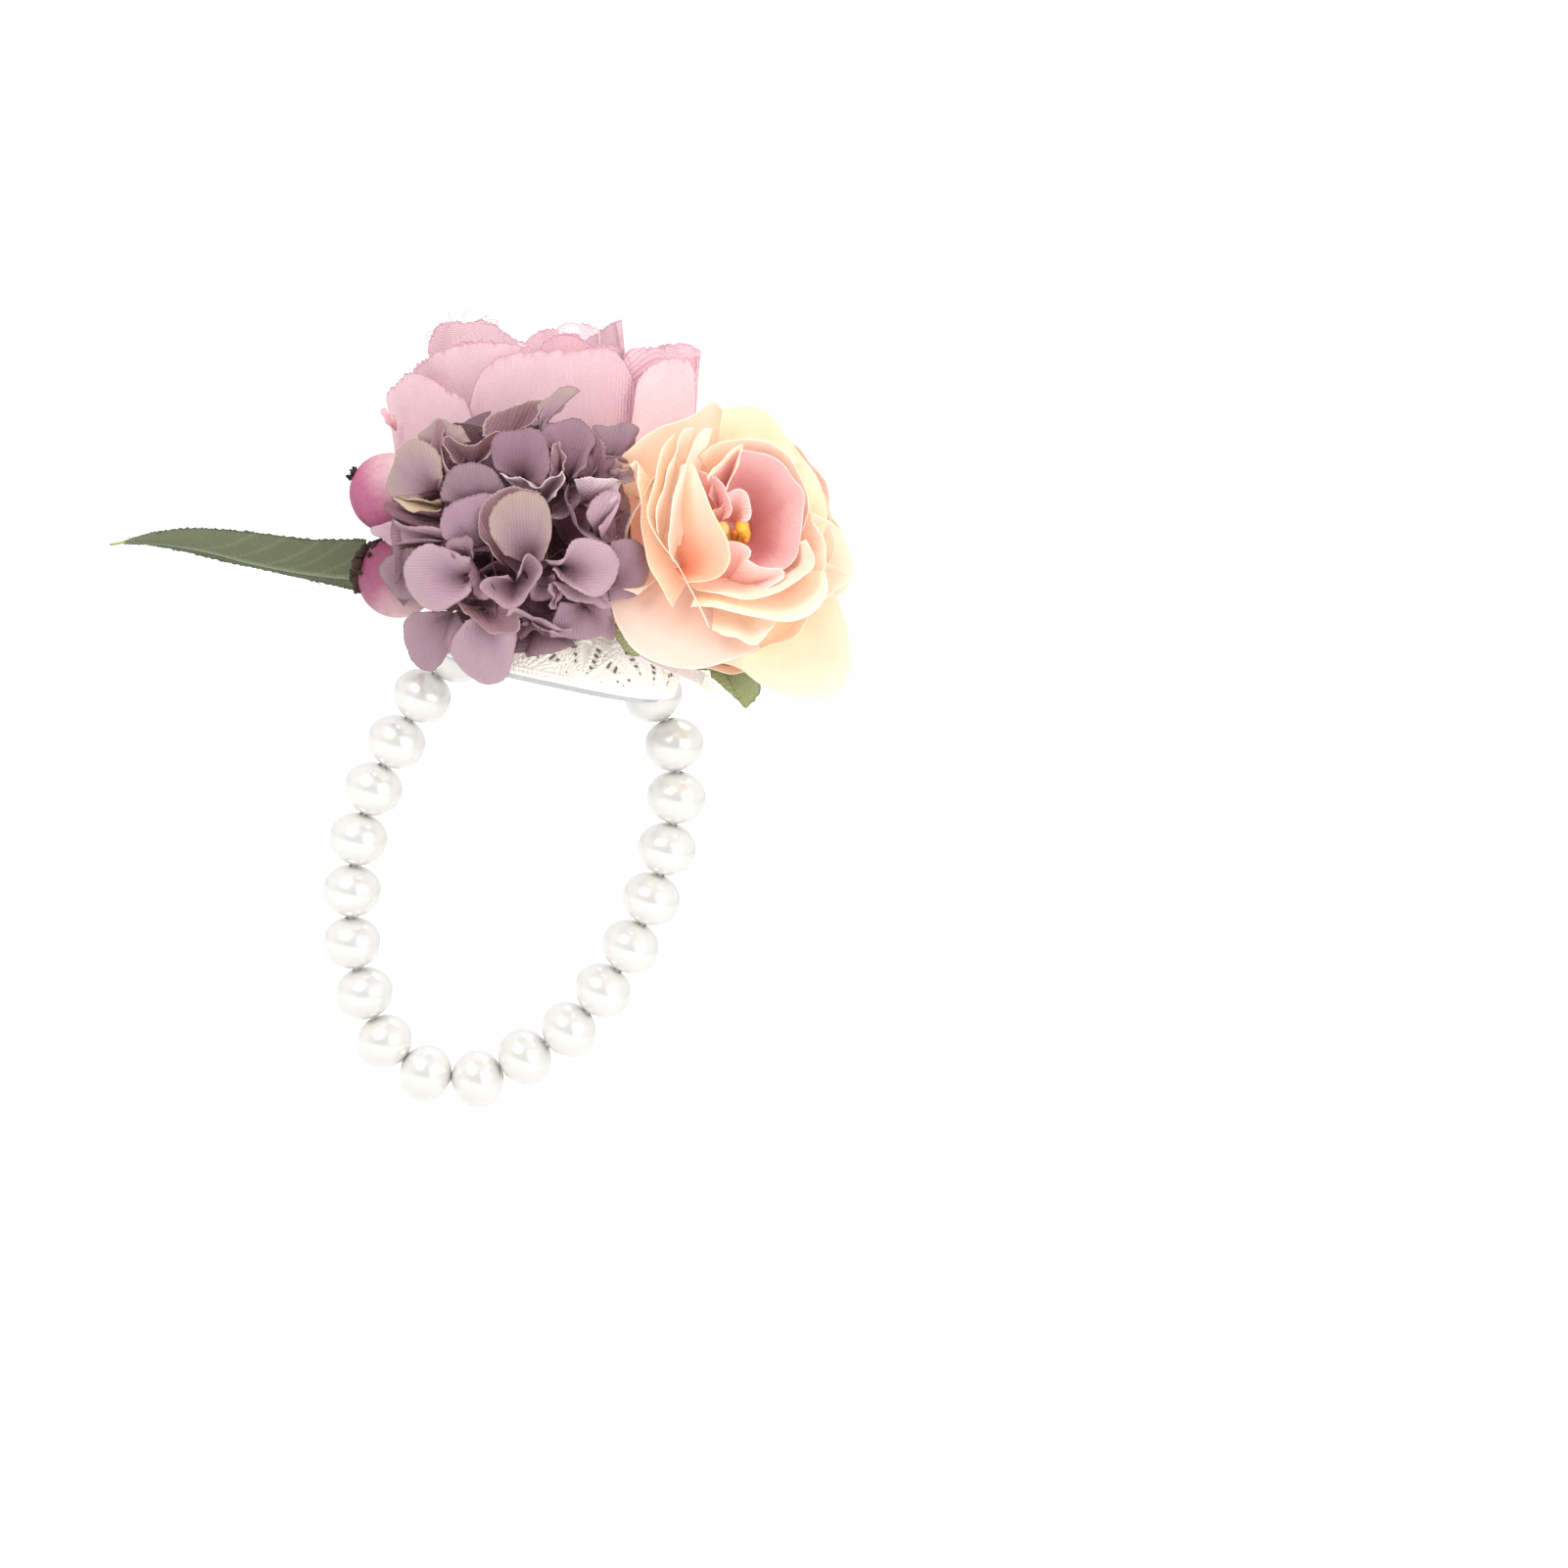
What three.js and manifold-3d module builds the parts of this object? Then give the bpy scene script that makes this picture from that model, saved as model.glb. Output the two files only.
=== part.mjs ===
// Wrist corsage: three artificial flowers, two berries and a leaf on a lace-covered plate,
// worn on an elastic cord of imitation pearls. Millimetres, +Z up from the wrist to the flowers,
// +X across the wrist, +Y along the arm. The origin is the middle of the plate's underside,
// which is the face that lies on the wrist.
import * as THREE from 'three';
import { mergeVertices } from 'three/addons/utils/BufferGeometryUtils.js';
import Module from 'manifold-3d';

const wasm = await Module();
wasm.setup();

// Clearances and tolerances that the whole part shares.
const touchGap = 0.3;
const cutOverrun = 40;
const weldDistance = 0.001;

const Y_AXIS = new THREE.Vector3(0, 1, 0);
const Z_AXIS = new THREE.Vector3(0, 0, 1);
const TURN = 2 * Math.PI;

// Plate, pad and lace: an oval with blunt ends, the same outline at three sizes. The lace
// reaches past the plate at its ends and its sides.
const outlineBluntness = 3.4;
const plate = { length: 31, width: 24, thickness: 0.8, edgePoints: 40 };
const lace = { pastEnds: 1.5, pastSides: 0.5, height: 7.6, wall: 0.8, domePower: 3.6 };
const laceLength = plate.length + 2 * lace.pastEnds;
const laceWidth = plate.width + 2 * lace.pastSides;
const dome = { around: 32, rings: 5 };

// Pearl strand. The route is drawn as shares of its own width and depth, from the first pearl
// on the left, down round the wrist and up to the last pearl on the right.
const pearl = { count: 20, diameter: 8, length: 7.3, bore: 2.2, gap: 0.28, sides: 12, arcSteps: 6 };
const cord = { diameter: 0.8, sides: 8, stepDiameters: 2.6 };
const knot = { diameter: 3, spread: 0.35, facets: 8 };
const notchGap = 0.5;
const routeShares = [
  [-0.625, 0.036], [-0.76, 0.125], [-0.87, 0.245], [-0.965, 0.37], [-1.0, 0.5], [-0.975, 0.625],
  [-0.91, 0.745], [-0.765, 0.855], [-0.575, 0.955], [-0.3, 1.0], [0.03, 0.985], [0.29, 0.91],
  [0.525, 0.825], [0.69, 0.71], [0.8, 0.595], [0.865, 0.47], [0.89, 0.352], [0.875, 0.233],
  [0.785, 0.118], [0.615, 0.032],
];
const depthPerHalfWidth = 2.76;
const exitX = 0.38;
const exitBendShare = 0.5;
const exitRiseShare = 1.5;
const swingLimitDegrees = 45;

// Glue mound that the stems are set in, on top of the lace.
const mound = { radiusX: 11, radiusY: 8.5, height: 8.5, x: -1, y: 1, facets: 10 };
const stemRootHeight = 2.6;
const stemRootShare = 0.4;

// Where each flower sits: its base, the way it faces, and its stem.
const pinkFlower = {
  base: { x: -3.2, y: 7.5, z: 14 }, facing: [-0.28, 0.24, 0.93], stemRadius: 1.3,
};
const rose = {
  base: { x: 17.5, y: 0.6, z: 19.8 }, facing: [0.14, -0.94, 0.32], stemRadius: 1.3,
};
const hydrangea = {
  centre: { x: -8, y: -9.5, z: 18 }, facing: [0, -0.99, 0.12],
  hubRadius: 3, stemRadius: 1.4, branchRadius: 0.5,
};

// Petal layers, each one stamped piece of cloth threaded on the flower's stem. A layer runs from
// the stem out to its widest radius and up to its rim, which has one lobe for each petal. Its
// radius and rim are shares of the bloom's radius, and its height one of the bloom's height. Its
// fullness is how far up it is widest, where that isn't the bloom's own share.
const clothWall = 0.7;
const stemHoleGap = 0.3;
const layerAround = 26;
const layerAlong = 4;
const pinkBloom = { radius: 20, height: 28.4, layerLift: 1.5, depthShare: 0.8, fullnessShare: 0.42 };
const pinkLayerShares = [
  { name: 'pink_petals_outer', petals: 6, radius: 1, rim: 1.03, height: 1, lobe: 0.18, turn: 0.58 },
  { name: 'pink_petals_second', petals: 5, radius: 0.86, rim: 0.88, height: 1.07, lobe: 0.16, turn: 0.22 },
  { name: 'pink_petals_third', petals: 5, radius: 0.7, rim: 0.63, height: 1.06, lobe: 0.12, turn: 0 },
  { name: 'pink_petals_inner', petals: 4, radius: 0.5, rim: 0.37, height: 0.985, lobe: 0.1, turn: 0.33 },
];
const pinkBud = { radius: 5.2, height: 22, lift: 6.5, facets: 10 };
const roseBloom = { radius: 17.8, height: 17, layerLift: 1.3, depthShare: 1, fullnessShare: 0.5 };
const roseLayerShares = [
  {
    name: 'rose_petals_outer', petals: 6, radius: 0.98, rim: 1.12, height: 0.7, lobe: 0.14, turn: 0.03,
    fullness: 0.66,
  },
  { name: 'rose_petals_second', petals: 5, radius: 0.865, rim: 0.966, height: 0.824, lobe: 0.1, turn: 0.6 },
  { name: 'rose_petals_third', petals: 4, radius: 0.753, rim: 0.764, height: 1, lobe: 0.08, turn: 0.3 },
  { name: 'rose_petals_inner', petals: 4, radius: 0.618, rim: 0.573, height: 1, lobe: 0.07, turn: 0.8 },
  { name: 'rose_heart_petals', petals: 3, radius: 0.483, rim: 0.449, height: 0.794, lobe: 0.1, turn: 0.4 },
];
const stamens = { radius: 2.6, height: 5, lift: 6.6, lobes: 5, lobeDepth: 0.6 };
const sepals = {
  degrees: [-81, -130, 160, 88, 10], spread: 26, length: 21.5, height: 3.6, waistShare: 0.3, lift: 3.2,
};

// Hydrangea florets in rings round the way the cluster faces: polar angle, count and first turn.
const floretRings = [
  { polar: 0, count: 1, start: 0 },
  { polar: 0.86, count: 5, start: 0.05 },
  { polar: 1.56, count: 5, start: 0.15 },
];
const floret = {
  seat: 13, reach: 5, radius: 9.4, petals: 4, waistShare: 0.7, around: 20, along: 3, wall: 0.6,
};
const neighbourShare = 1.6;

// Berries, their dried crowns and the wire that carries them.
const berry = { radius: 5.7, facets: 14, wireRadius: 0.6 };
const crown = { height: 1.4, teeth: 7, toothDepth: 0.3 };
const upperBerry = { x: -27.4, y: -1.2, z: 19.9, crownRadius: 2 };
const lowerBerry = { x: -23.7, y: -5.2, z: 9.2, crownRadius: 4 };
const berries = [
  { name: 'berry_upper', place: upperBerry, crownFacing: [-0.95, -0.1, 0.3] },
  { name: 'berry_lower', place: lowerBerry, crownFacing: [-0.98, 0.1, 0.12] },
];
const berryWireRoot = { x: -10.5, y: -1.2, z: 13 };

// Leaf: its midrib from the root on, as shares of its length, and how wide and folded it is.
const leafRoot = { x: -17, y: 3.6, z: 9.9 };
const leaf = {
  length: 47.3, halfWidth: 3.9, fold: 1.5, wall: 0.6, wireRadius: 0.5, steps: 16, wireShare: 0.55,
};
const leafMidribShares = [
  [0, 0, 0], [-0.254, -0.013, -0.013], [-0.507, -0.042, -0.036], [-0.761, -0.076, -0.061],
  [-1, -0.118, -0.097],
];
const leafWidthShares = [0.8, 1, 0.76, 0.52, 0.02];

// Satin ribbon laid over the lace, under the rose, at a distance from the lace's end.
const ribbon = { width: 4.5, wall: 0.5, fromEnd: 5.2, steps: 8, startShare: 0.02, endShare: 0.4 };

// Planes that the crowded flowers press against, each as a point and the way it faces.
const pressPlanes = {
  hydrangeaRose: { point: { x: 7.3, y: -10, z: 22 }, facing: [0.97, 0.05, 0.22] },
  hydrangeaPink: { point: { x: -6, y: -7, z: 24 }, facing: [0, 1, 0.05] },
  rosePink: { point: { x: 9.3, y: 1.5, z: 27 }, facing: [0.76, -0.6, -0.22] },
};

const vector = ({ x, y, z }) => new THREE.Vector3(x, y, z);
const unit = (list) => new THREE.Vector3(...list).normalize();

// A closed three.js geometry as a solid that can be joined and cut.
function solidOf(geometry) {
  const bare = geometry.clone();
  for (const name of Object.keys(bare.attributes)) {
    if (name !== 'position') bare.deleteAttribute(name);
  }
  const merged = mergeVertices(bare, weldDistance);
  return new wasm.Manifold(new wasm.Mesh({
    numProp: 3,
    vertProperties: merged.attributes.position.array,
    triVerts: merged.index.array,
  }));
}

// The solid's vertices and triangles as a three.js geometry.
function geometryOf(solid) {
  const { numProp, numVert, vertProperties, triVerts } = solid.getMesh();
  const positions = new Float32Array(numVert * 3);
  for (let i = 0; i < numVert; i++) {
    positions.set(vertProperties.subarray(i * numProp, i * numProp + 3), i * 3);
  }
  const geometry = new THREE.BufferGeometry();
  geometry.setAttribute('position', new THREE.BufferAttribute(positions, 3));
  geometry.setIndex(new THREE.BufferAttribute(triVerts, 1));
  geometry.computeVertexNormals();
  return geometry;
}

// The largest single body of a solid, for a petal whose tip was cut off by its neighbour.
function largestBody(solid) {
  return solid.decompose().reduce((best, body) => (body.volume() > best.volume() ? body : best));
}

// What is left of a solid behind a plane, with the plane moved back by a gap.
function keepBehind(solid, { point, facing }, gap) {
  const normal = unit(facing);
  const block = new THREE.BoxGeometry(2 * cutOverrun, 2 * cutOverrun, cutOverrun);
  block.translate(0, 0, cutOverrun / 2);
  block.applyQuaternion(new THREE.Quaternion().setFromUnitVectors(Z_AXIS, normal));
  block.translate(...vector(point).addScaledVector(normal, -gap));
  return solid.subtract(solidOf(block));
}

const flipped = ({ point, facing }) => ({ point, facing: facing.map((value) => -value) });

// A closed mesh from points and triangles, turned so that its faces point out.
function closedGeometry(points, triangles) {
  let volume = 0;
  for (const [a, b, c] of triangles) {
    volume += points[a].dot(new THREE.Vector3().crossVectors(points[b], points[c]));
  }
  const turned = volume < 0 ? triangles.map(([a, b, c]) => [a, c, b]) : triangles;
  const geometry = new THREE.BufferGeometry().setFromPoints(points);
  geometry.setIndex(turned.flat());
  return geometry;
}

// A thin closed body round a surface. surface(u, v) gives its middle; with wrap the body closes
// on itself in u, and otherwise it ends in an edge at both sides.
function shell(surface, { around, along, wall, wrap }) {
  const columns = wrap ? around : around + 1;
  const at = (i, j) => surface(i / around, j / along);
  const column = (i) => (wrap ? (i + columns) % columns : Math.min(Math.max(i, 0), columns - 1));
  const row = (j) => Math.min(Math.max(j, 0), along);
  const points = [];
  for (const side of [1, -1]) {
    for (let i = 0; i < columns; i++) {
      for (let j = 0; j <= along; j++) {
        const acrossU = at(column(i + 1), j).sub(at(column(i - 1), j));
        const acrossV = at(i, row(j + 1)).sub(at(i, row(j - 1)));
        const normal = acrossU.cross(acrossV).normalize();
        points.push(at(i, j).addScaledVector(normal, (side * wall) / 2));
      }
    }
  }
  const half = points.length / 2;
  const index = (i, j, back) => column(i) * (along + 1) + j + (back ? half : 0);
  const triangles = [];
  const quad = (a, b, c, d) => triangles.push([a, b, c], [a, c, d]);
  const spans = wrap ? columns : columns - 1;
  for (let i = 0; i < spans; i++) {
    for (let j = 0; j < along; j++) {
      quad(index(i, j), index(i + 1, j), index(i + 1, j + 1), index(i, j + 1));
      quad(index(i, j, true), index(i, j + 1, true), index(i + 1, j + 1, true), index(i + 1, j, true));
    }
    quad(index(i + 1, 0), index(i, 0), index(i, 0, true), index(i + 1, 0, true));
    quad(index(i, along), index(i + 1, along), index(i + 1, along, true), index(i, along, true));
  }
  if (!wrap) {
    for (let j = 0; j < along; j++) {
      quad(index(0, j), index(0, j + 1), index(0, j + 1, true), index(0, j, true));
      const last = columns - 1;
      quad(index(last, j + 1), index(last, j), index(last, j, true), index(last, j + 1, true));
    }
  }
  return closedGeometry(points, triangles);
}

// Turns a shape from its own +Z to a direction, and moves it to its base.
function placed(geometry, base, direction) {
  geometry.applyQuaternion(new THREE.Quaternion().setFromUnitVectors(Z_AXIS, direction));
  return geometry.translate(base.x, base.y, base.z);
}

// A round rod from one point to another.
function rod(from, to, radius, sides = 8) {
  const span = new THREE.Vector3().subVectors(to, from);
  const geometry = new THREE.CylinderGeometry(radius, radius, span.length(), sides);
  geometry.rotateX(Math.PI / 2);
  geometry.translate(0, 0, span.length() / 2);
  return solidOf(placed(geometry, from, span.normalize()));
}

function ball(centre, radius, facets) {
  const geometry = new THREE.SphereGeometry(radius, facets, facets / 2);
  return solidOf(geometry.translate(centre.x, centre.y, centre.z));
}

// Half-size of the blunt oval at an angle, for a full length and width.
function ovalRadius(angle, length, width) {
  const across = Math.abs(2 * Math.cos(angle) / length) ** outlineBluntness;
  const along = Math.abs(2 * Math.sin(angle) / width) ** outlineBluntness;
  return (across + along) ** (-1 / outlineBluntness);
}

// A solid dome on the blunt oval, flat underneath.
function domeSolid(length, width, height, floor) {
  const points = [new THREE.Vector3(0, 0, floor), new THREE.Vector3(0, 0, floor + height)];
  for (let ring = 1; ring <= dome.rings; ring++) {
    const share = ring / dome.rings;
    for (let i = 0; i < dome.around; i++) {
      const angle = (TURN * i) / dome.around;
      const radius = share * ovalRadius(angle, length, width);
      const rise = height * (1 - share ** lace.domePower);
      points.push(new THREE.Vector3(radius * Math.cos(angle), radius * Math.sin(angle), floor + rise));
    }
  }
  const at = (ring, i) => 2 + (ring - 1) * dome.around + (i % dome.around);
  const triangles = [];
  for (let i = 0; i < dome.around; i++) {
    triangles.push([1, at(1, i), at(1, i + 1)], [0, at(dome.rings, i + 1), at(dome.rings, i)]);
    for (let ring = 1; ring < dome.rings; ring++) {
      triangles.push([at(ring, i), at(ring + 1, i), at(ring + 1, i + 1)]);
      triangles.push([at(ring, i), at(ring + 1, i + 1), at(ring, i + 1)]);
    }
  }
  return solidOf(closedGeometry(points, triangles));
}

// Pearl strand: the route scaled so that its length is what the pearls need side by side.
const plateTop = plate.thickness;
const cordHeight = plateTop + touchGap + cord.diameter / 2;
const pearlPitch = pearl.length + pearl.gap;

// The cord's middle line for a loop half as wide as halfWidth: out from the knot, over the
// plate's end, round the wrist and back. The route's own points are the pearls' rough places.
const knotReach = knot.diameter / 2 + touchGap;

function cordLine(halfWidth) {
  const around = routeShares.map(([across, down]) => (
    new THREE.Vector3(across * halfWidth, 0, cordHeight - down * depthPerHalfWidth * halfWidth)));
  const inner = (side, end) => {
    const exit = new THREE.Vector3(side * exitX * halfWidth, 0, cordHeight);
    const bend = exit.clone().lerp(end, exitBendShare);
    bend.z += (cordHeight - bend.z) * exitRiseShare;
    return [new THREE.Vector3(side * knotReach, 0, cordHeight), exit, bend];
  };
  const left = inner(-1, around[0]);
  const right = inner(1, around[around.length - 1]).reverse();
  const curve = new THREE.CatmullRomCurve3([...left, ...around, ...right], false, 'centripetal');
  curve.arcLengthDivisions = 2500;
  return curve;
}

// Arc length from the cord's start to the control point with this number.
function lengthTo(curve, pointNumber) {
  const lengths = curve.getLengths();
  return lengths[Math.round((pointNumber / (curve.points.length - 1)) * (lengths.length - 1))];
}

// The loop's half width at which the strand is exactly as long as its pearls need.
const innerPoints = 3;
const strandLength = (pearl.count - 1) * pearlPitch;

function fittedHalfWidth() {
  let halfWidth = pearl.diameter * 3;
  for (let pass = 0; pass < 20; pass++) {
    const curve = cordLine(halfWidth);
    const last = curve.points.length - 1 - innerPoints;
    halfWidth *= strandLength / (lengthTo(curve, last) - lengthTo(curve, innerPoints));
  }
  return halfWidth;
}

const loopHalfWidth = fittedHalfWidth();
const cordCurve = cordLine(loopHalfWidth);
const strandStart = lengthTo(cordCurve, innerPoints);
const pearlPlaces = Array.from({ length: pearl.count }, (_, i) => {
  const share = (strandStart + i * pearlPitch) / cordCurve.getLength();
  return { centre: cordCurve.getPointAt(share), along: cordCurve.getTangentAt(share) };
});
const endPearls = [pearlPlaces[0].centre, pearlPlaces[pearl.count - 1].centre];

// Room for the first and last pearl, which nest in the ends of the plate, pad and lace and
// swing there with the strand about the line between the cord's two exits.
const pocketRadius = pearl.diameter / 2 + notchGap;
const pearlPockets = endPearls.map((centre) => {
  const arm = cordHeight - centre.z;
  const swing = THREE.MathUtils.degToRad(swingLimitDegrees);
  const halfSpan = pocketRadius + arm * Math.sin(swing);
  const axisHeight = cordHeight - arm * Math.cos(swing);
  const side = Math.sign(centre.x);
  const arch = new THREE.CylinderGeometry(pocketRadius, pocketRadius, 2 * halfSpan, 16);
  arch.translate(centre.x, 0, axisHeight);
  const below = new THREE.BoxGeometry(cutOverrun, 2 * halfSpan, cutOverrun);
  below.translate(centre.x + side * (cutOverrun / 2 - pocketRadius), 0, axisHeight - cutOverrun / 2);
  const beyond = new THREE.BoxGeometry(cutOverrun, 2 * halfSpan, 2 * pocketRadius);
  beyond.translate(centre.x + side * (cutOverrun / 2), 0, axisHeight);
  return solidOf(arch).add(solidOf(below)).add(solidOf(beyond));
});

function cutPockets(solid) {
  return pearlPockets.reduce((body, pocket) => body.subtract(pocket), solid);
}

// A flat sheet with the blunt oval's outline, standing on the given height.
function ovalSheet(length, width, thickness, floor) {
  const outline = new THREE.Shape(Array.from({ length: plate.edgePoints }, (_, i) => {
    const angle = (TURN * i) / plate.edgePoints;
    const radius = ovalRadius(angle, length, width);
    return new THREE.Vector2(radius * Math.cos(angle), radius * Math.sin(angle));
  }));
  const sheet = new THREE.ExtrudeGeometry(outline, { depth: thickness, bevelEnabled: false });
  return solidOf(sheet.translate(0, 0, floor));
}

const plateGeometry = () => geometryOf(cutPockets(ovalSheet(plate.length, plate.width, plateTop, 0)));

const laceFloor = plateTop + touchGap;

// A dome like the lace's outside, grown by a margin to every side and upwards.
function laceDome(margin, floor) {
  return domeSolid(laceLength + 2 * margin, laceWidth + 2 * margin, lace.height + margin, floor);
}

// The room that plate and lace take up together, grown by the gap.
const baseFoot = ovalSheet(
  laceLength + 2 * touchGap, laceWidth + 2 * touchGap, laceFloor + 2 * touchGap, -touchGap);
const baseRoom = laceDome(touchGap, laceFloor).add(baseFoot);

function laceGeometry() {
  const inside = laceDome(-lace.wall, laceFloor - touchGap / 2);
  return geometryOf(largestBody(cutPockets(laceDome(0, laceFloor).subtract(inside))));
}

// The knot that ties the cord's two ends, as a small ball that both ends go into.
const knotCentre = new THREE.Vector3(0, 0, cordHeight + knot.diameter * knot.spread);

function padGeometry() {
  const inset = lace.wall + touchGap;
  const body = domeSolid(
    laceLength - 2 * inset, laceWidth - 2 * inset, lace.height - inset - touchGap, laceFloor);
  const grooveSize = cord.diameter + 2 * touchGap;
  const groove = new THREE.BoxGeometry(laceLength, grooveSize, grooveSize + 2 * touchGap);
  groove.translate(0, 0, cordHeight + touchGap);
  const knotRoom = ball(knotCentre, knot.diameter / 2 + touchGap, 12);
  return geometryOf(largestBody(cutPockets(body).subtract(solidOf(groove)).subtract(knotRoom)));
}

function knotGeometry() {
  return new THREE.SphereGeometry(knot.diameter / 2, knot.facets * 2, knot.facets);
}

function cordGeometry() {
  const section = new THREE.Shape();
  const radius = cord.diameter / 2;
  for (let i = 0; i < cord.sides; i++) {
    const angle = (TURN * i) / cord.sides;
    if (i === 0) section.moveTo(radius, 0);
    else section.lineTo(radius * Math.cos(angle), radius * Math.sin(angle));
  }
  const steps = Math.round(cordCurve.getLength() / (cord.stepDiameters * cord.diameter));
  return new THREE.ExtrudeGeometry(section, { steps, extrudePath: cordCurve, bevelEnabled: false });
}

// A pearl: slightly flattened along its bore, with the bore right through it.
function pearlGeometry() {
  const boreRadius = pearl.bore / 2;
  const radius = pearl.diameter / 2;
  const halfLength = pearl.length / 2;
  const startAngle = Math.asin(boreRadius / radius);
  const profile = [];
  for (let i = 0; i <= pearl.arcSteps; i++) {
    const angle = startAngle + ((Math.PI - 2 * startAngle) * i) / pearl.arcSteps;
    profile.push(new THREE.Vector2(radius * Math.sin(angle), -halfLength * Math.cos(angle)));
  }
  profile.push(profile[0].clone());
  return new THREE.LatheGeometry(profile, pearl.sides);
}

// Glue mound, and the stems that are set in it.
const moundFloor = laceFloor + lace.height + touchGap;
const moundCentre = new THREE.Vector3(mound.x, mound.y, moundFloor - mound.height * 0.5);

function moundBody(extra) {
  const radius = mound.radiusX + extra;
  const geometry = new THREE.SphereGeometry(radius, mound.facets * 2, mound.facets);
  geometry.scale(1, (mound.radiusY + extra) / radius, (mound.height + extra) / radius);
  return solidOf(geometry.translate(moundCentre.x, moundCentre.y, moundCentre.z));
}

// A stem's hidden end, part way from the middle of the mound to where the stem leaves it.
function stemEnd(start) {
  return new THREE.Vector3(mound.x, mound.y, moundFloor + stemRootHeight).lerp(start, stemRootShare);
}

const hydrangeaCentre = vector(hydrangea.centre);

// A flower's stem: from the mound to a bend behind the flower, then on along its axis.
function flowerStem({ base, facing, stemRadius }, inside, behind, extra) {
  const direction = unit(facing);
  const radius = stemRadius + extra;
  const end = vector(base).addScaledVector(direction, inside);
  const bend = vector(base).addScaledVector(direction, -behind);
  return rod(stemEnd(bend), bend, radius).add(ball(bend, radius, 8)).add(rod(bend, end, radius));
}

function pinkStem(extra) {
  return flowerStem(pinkFlower, pinkBud.lift - touchGap, 2 * pinkFlower.stemRadius, extra);
}

function roseStem(extra) {
  return flowerStem(rose, stamens.lift - touchGap, sepals.lift + 2 * rose.stemRadius, extra);
}

// Which way each floret faces.
function floretDirections() {
  const turn = new THREE.Quaternion().setFromUnitVectors(Z_AXIS, unit(hydrangea.facing));
  return floretRings.flatMap(({ polar, count, start }) => Array.from({ length: count }, (_, i) => {
    const angle = start + (TURN * i) / count;
    const direction = new THREE.Vector3().setFromSphericalCoords(1, polar, angle);
    return new THREE.Vector3(direction.z, direction.x, direction.y).applyQuaternion(turn);
  }));
}

const florets = floretDirections();

function hydrangeaStem(extra) {
  const hub = ball(hydrangeaCentre, hydrangea.hubRadius + extra, 12);
  const trunk = rod(stemEnd(hydrangeaCentre), hydrangeaCentre, hydrangea.stemRadius + extra);
  return florets.reduce((body, direction) => {
    const tip = hydrangeaCentre.clone().addScaledVector(direction, floret.seat + floret.wall + touchGap);
    return body.add(rod(hydrangeaCentre, tip, hydrangea.branchRadius + extra, 6));
  }, hub.add(trunk));
}

// A wire fork that ends just inside the mound and just short of each berry.
function berryWire(extra) {
  const root = vector(berryWireRoot);
  return berries.reduce((body, { place }) => {
    const middle = vector(place);
    const inward = root.clone().sub(middle).normalize();
    const start = middle.clone().addScaledVector(inward, berry.radius + touchGap);
    return body.add(rod(start, root, berry.wireRadius + extra, 6));
  }, ball(root, berry.wireRadius + extra, 6).add(rod(root, stemEnd(root), berry.wireRadius + extra, 6)));
}

const leafCurve = new THREE.CatmullRomCurve3(leafMidribShares.map((shares) => (
  new THREE.Vector3(...shares).multiplyScalar(leaf.length).add(vector(leafRoot)))));

// The leaf's width at a share of its length, straight between the listed shares.
function leafHalfWidth(share) {
  const place = share * (leafWidthShares.length - 1);
  const before = Math.min(Math.floor(place), leafWidthShares.length - 2);
  const [a, b] = [leafWidthShares[before], leafWidthShares[before + 1]];
  return leaf.halfWidth * (a + (b - a) * (place - before));
}

// The blade hangs from its midrib in two halves that fold towards the back.
function leafGeometry() {
  const surface = (u, v) => {
    const side = 2 * v - 1;
    const middle = leafCurve.getPoint(u);
    const halfWidth = leafHalfWidth(u);
    const fold = leaf.fold * Math.abs(side) * (halfWidth / leaf.halfWidth);
    return middle.add(new THREE.Vector3(0, fold, side * halfWidth));
  };
  return shell(surface, { around: leaf.steps, along: 4, wall: leaf.wall, wrap: false });
}

// The wire glued behind the blade, from part way along the midrib into the mound.
function leafWire(extra) {
  const behind = leaf.wall / 2 + touchGap + leaf.wireRadius;
  const along = [1, 0.5, 0].map((share) => (
    leafCurve.getPoint(leaf.wireShare * share).add(new THREE.Vector3(0, behind, 0))));
  along.push(stemEnd(along[along.length - 1]));
  const curve = new THREE.CatmullRomCurve3(along);
  const section = new THREE.Shape();
  section.absarc(0, 0, leaf.wireRadius + extra, 0, TURN);
  return solidOf(new THREE.ExtrudeGeometry(section, {
    steps: leaf.steps, curveSegments: 6, extrudePath: curve, bevelEnabled: false,
  }));
}

// Everything that petals have to leave room for, grown by the gap.
const keepOut = [
  baseRoom,
  solidOf(ribbonGeometry(touchGap)),
  moundBody(touchGap),
  berryWire(touchGap),
  leafWire(touchGap),
  ...berries.map(({ place }) => ball(place, berry.radius + 2 * touchGap, 16)),
];
const clearOf = (solid, others) => others.reduce((body, other) => body.subtract(other), solid);

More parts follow.
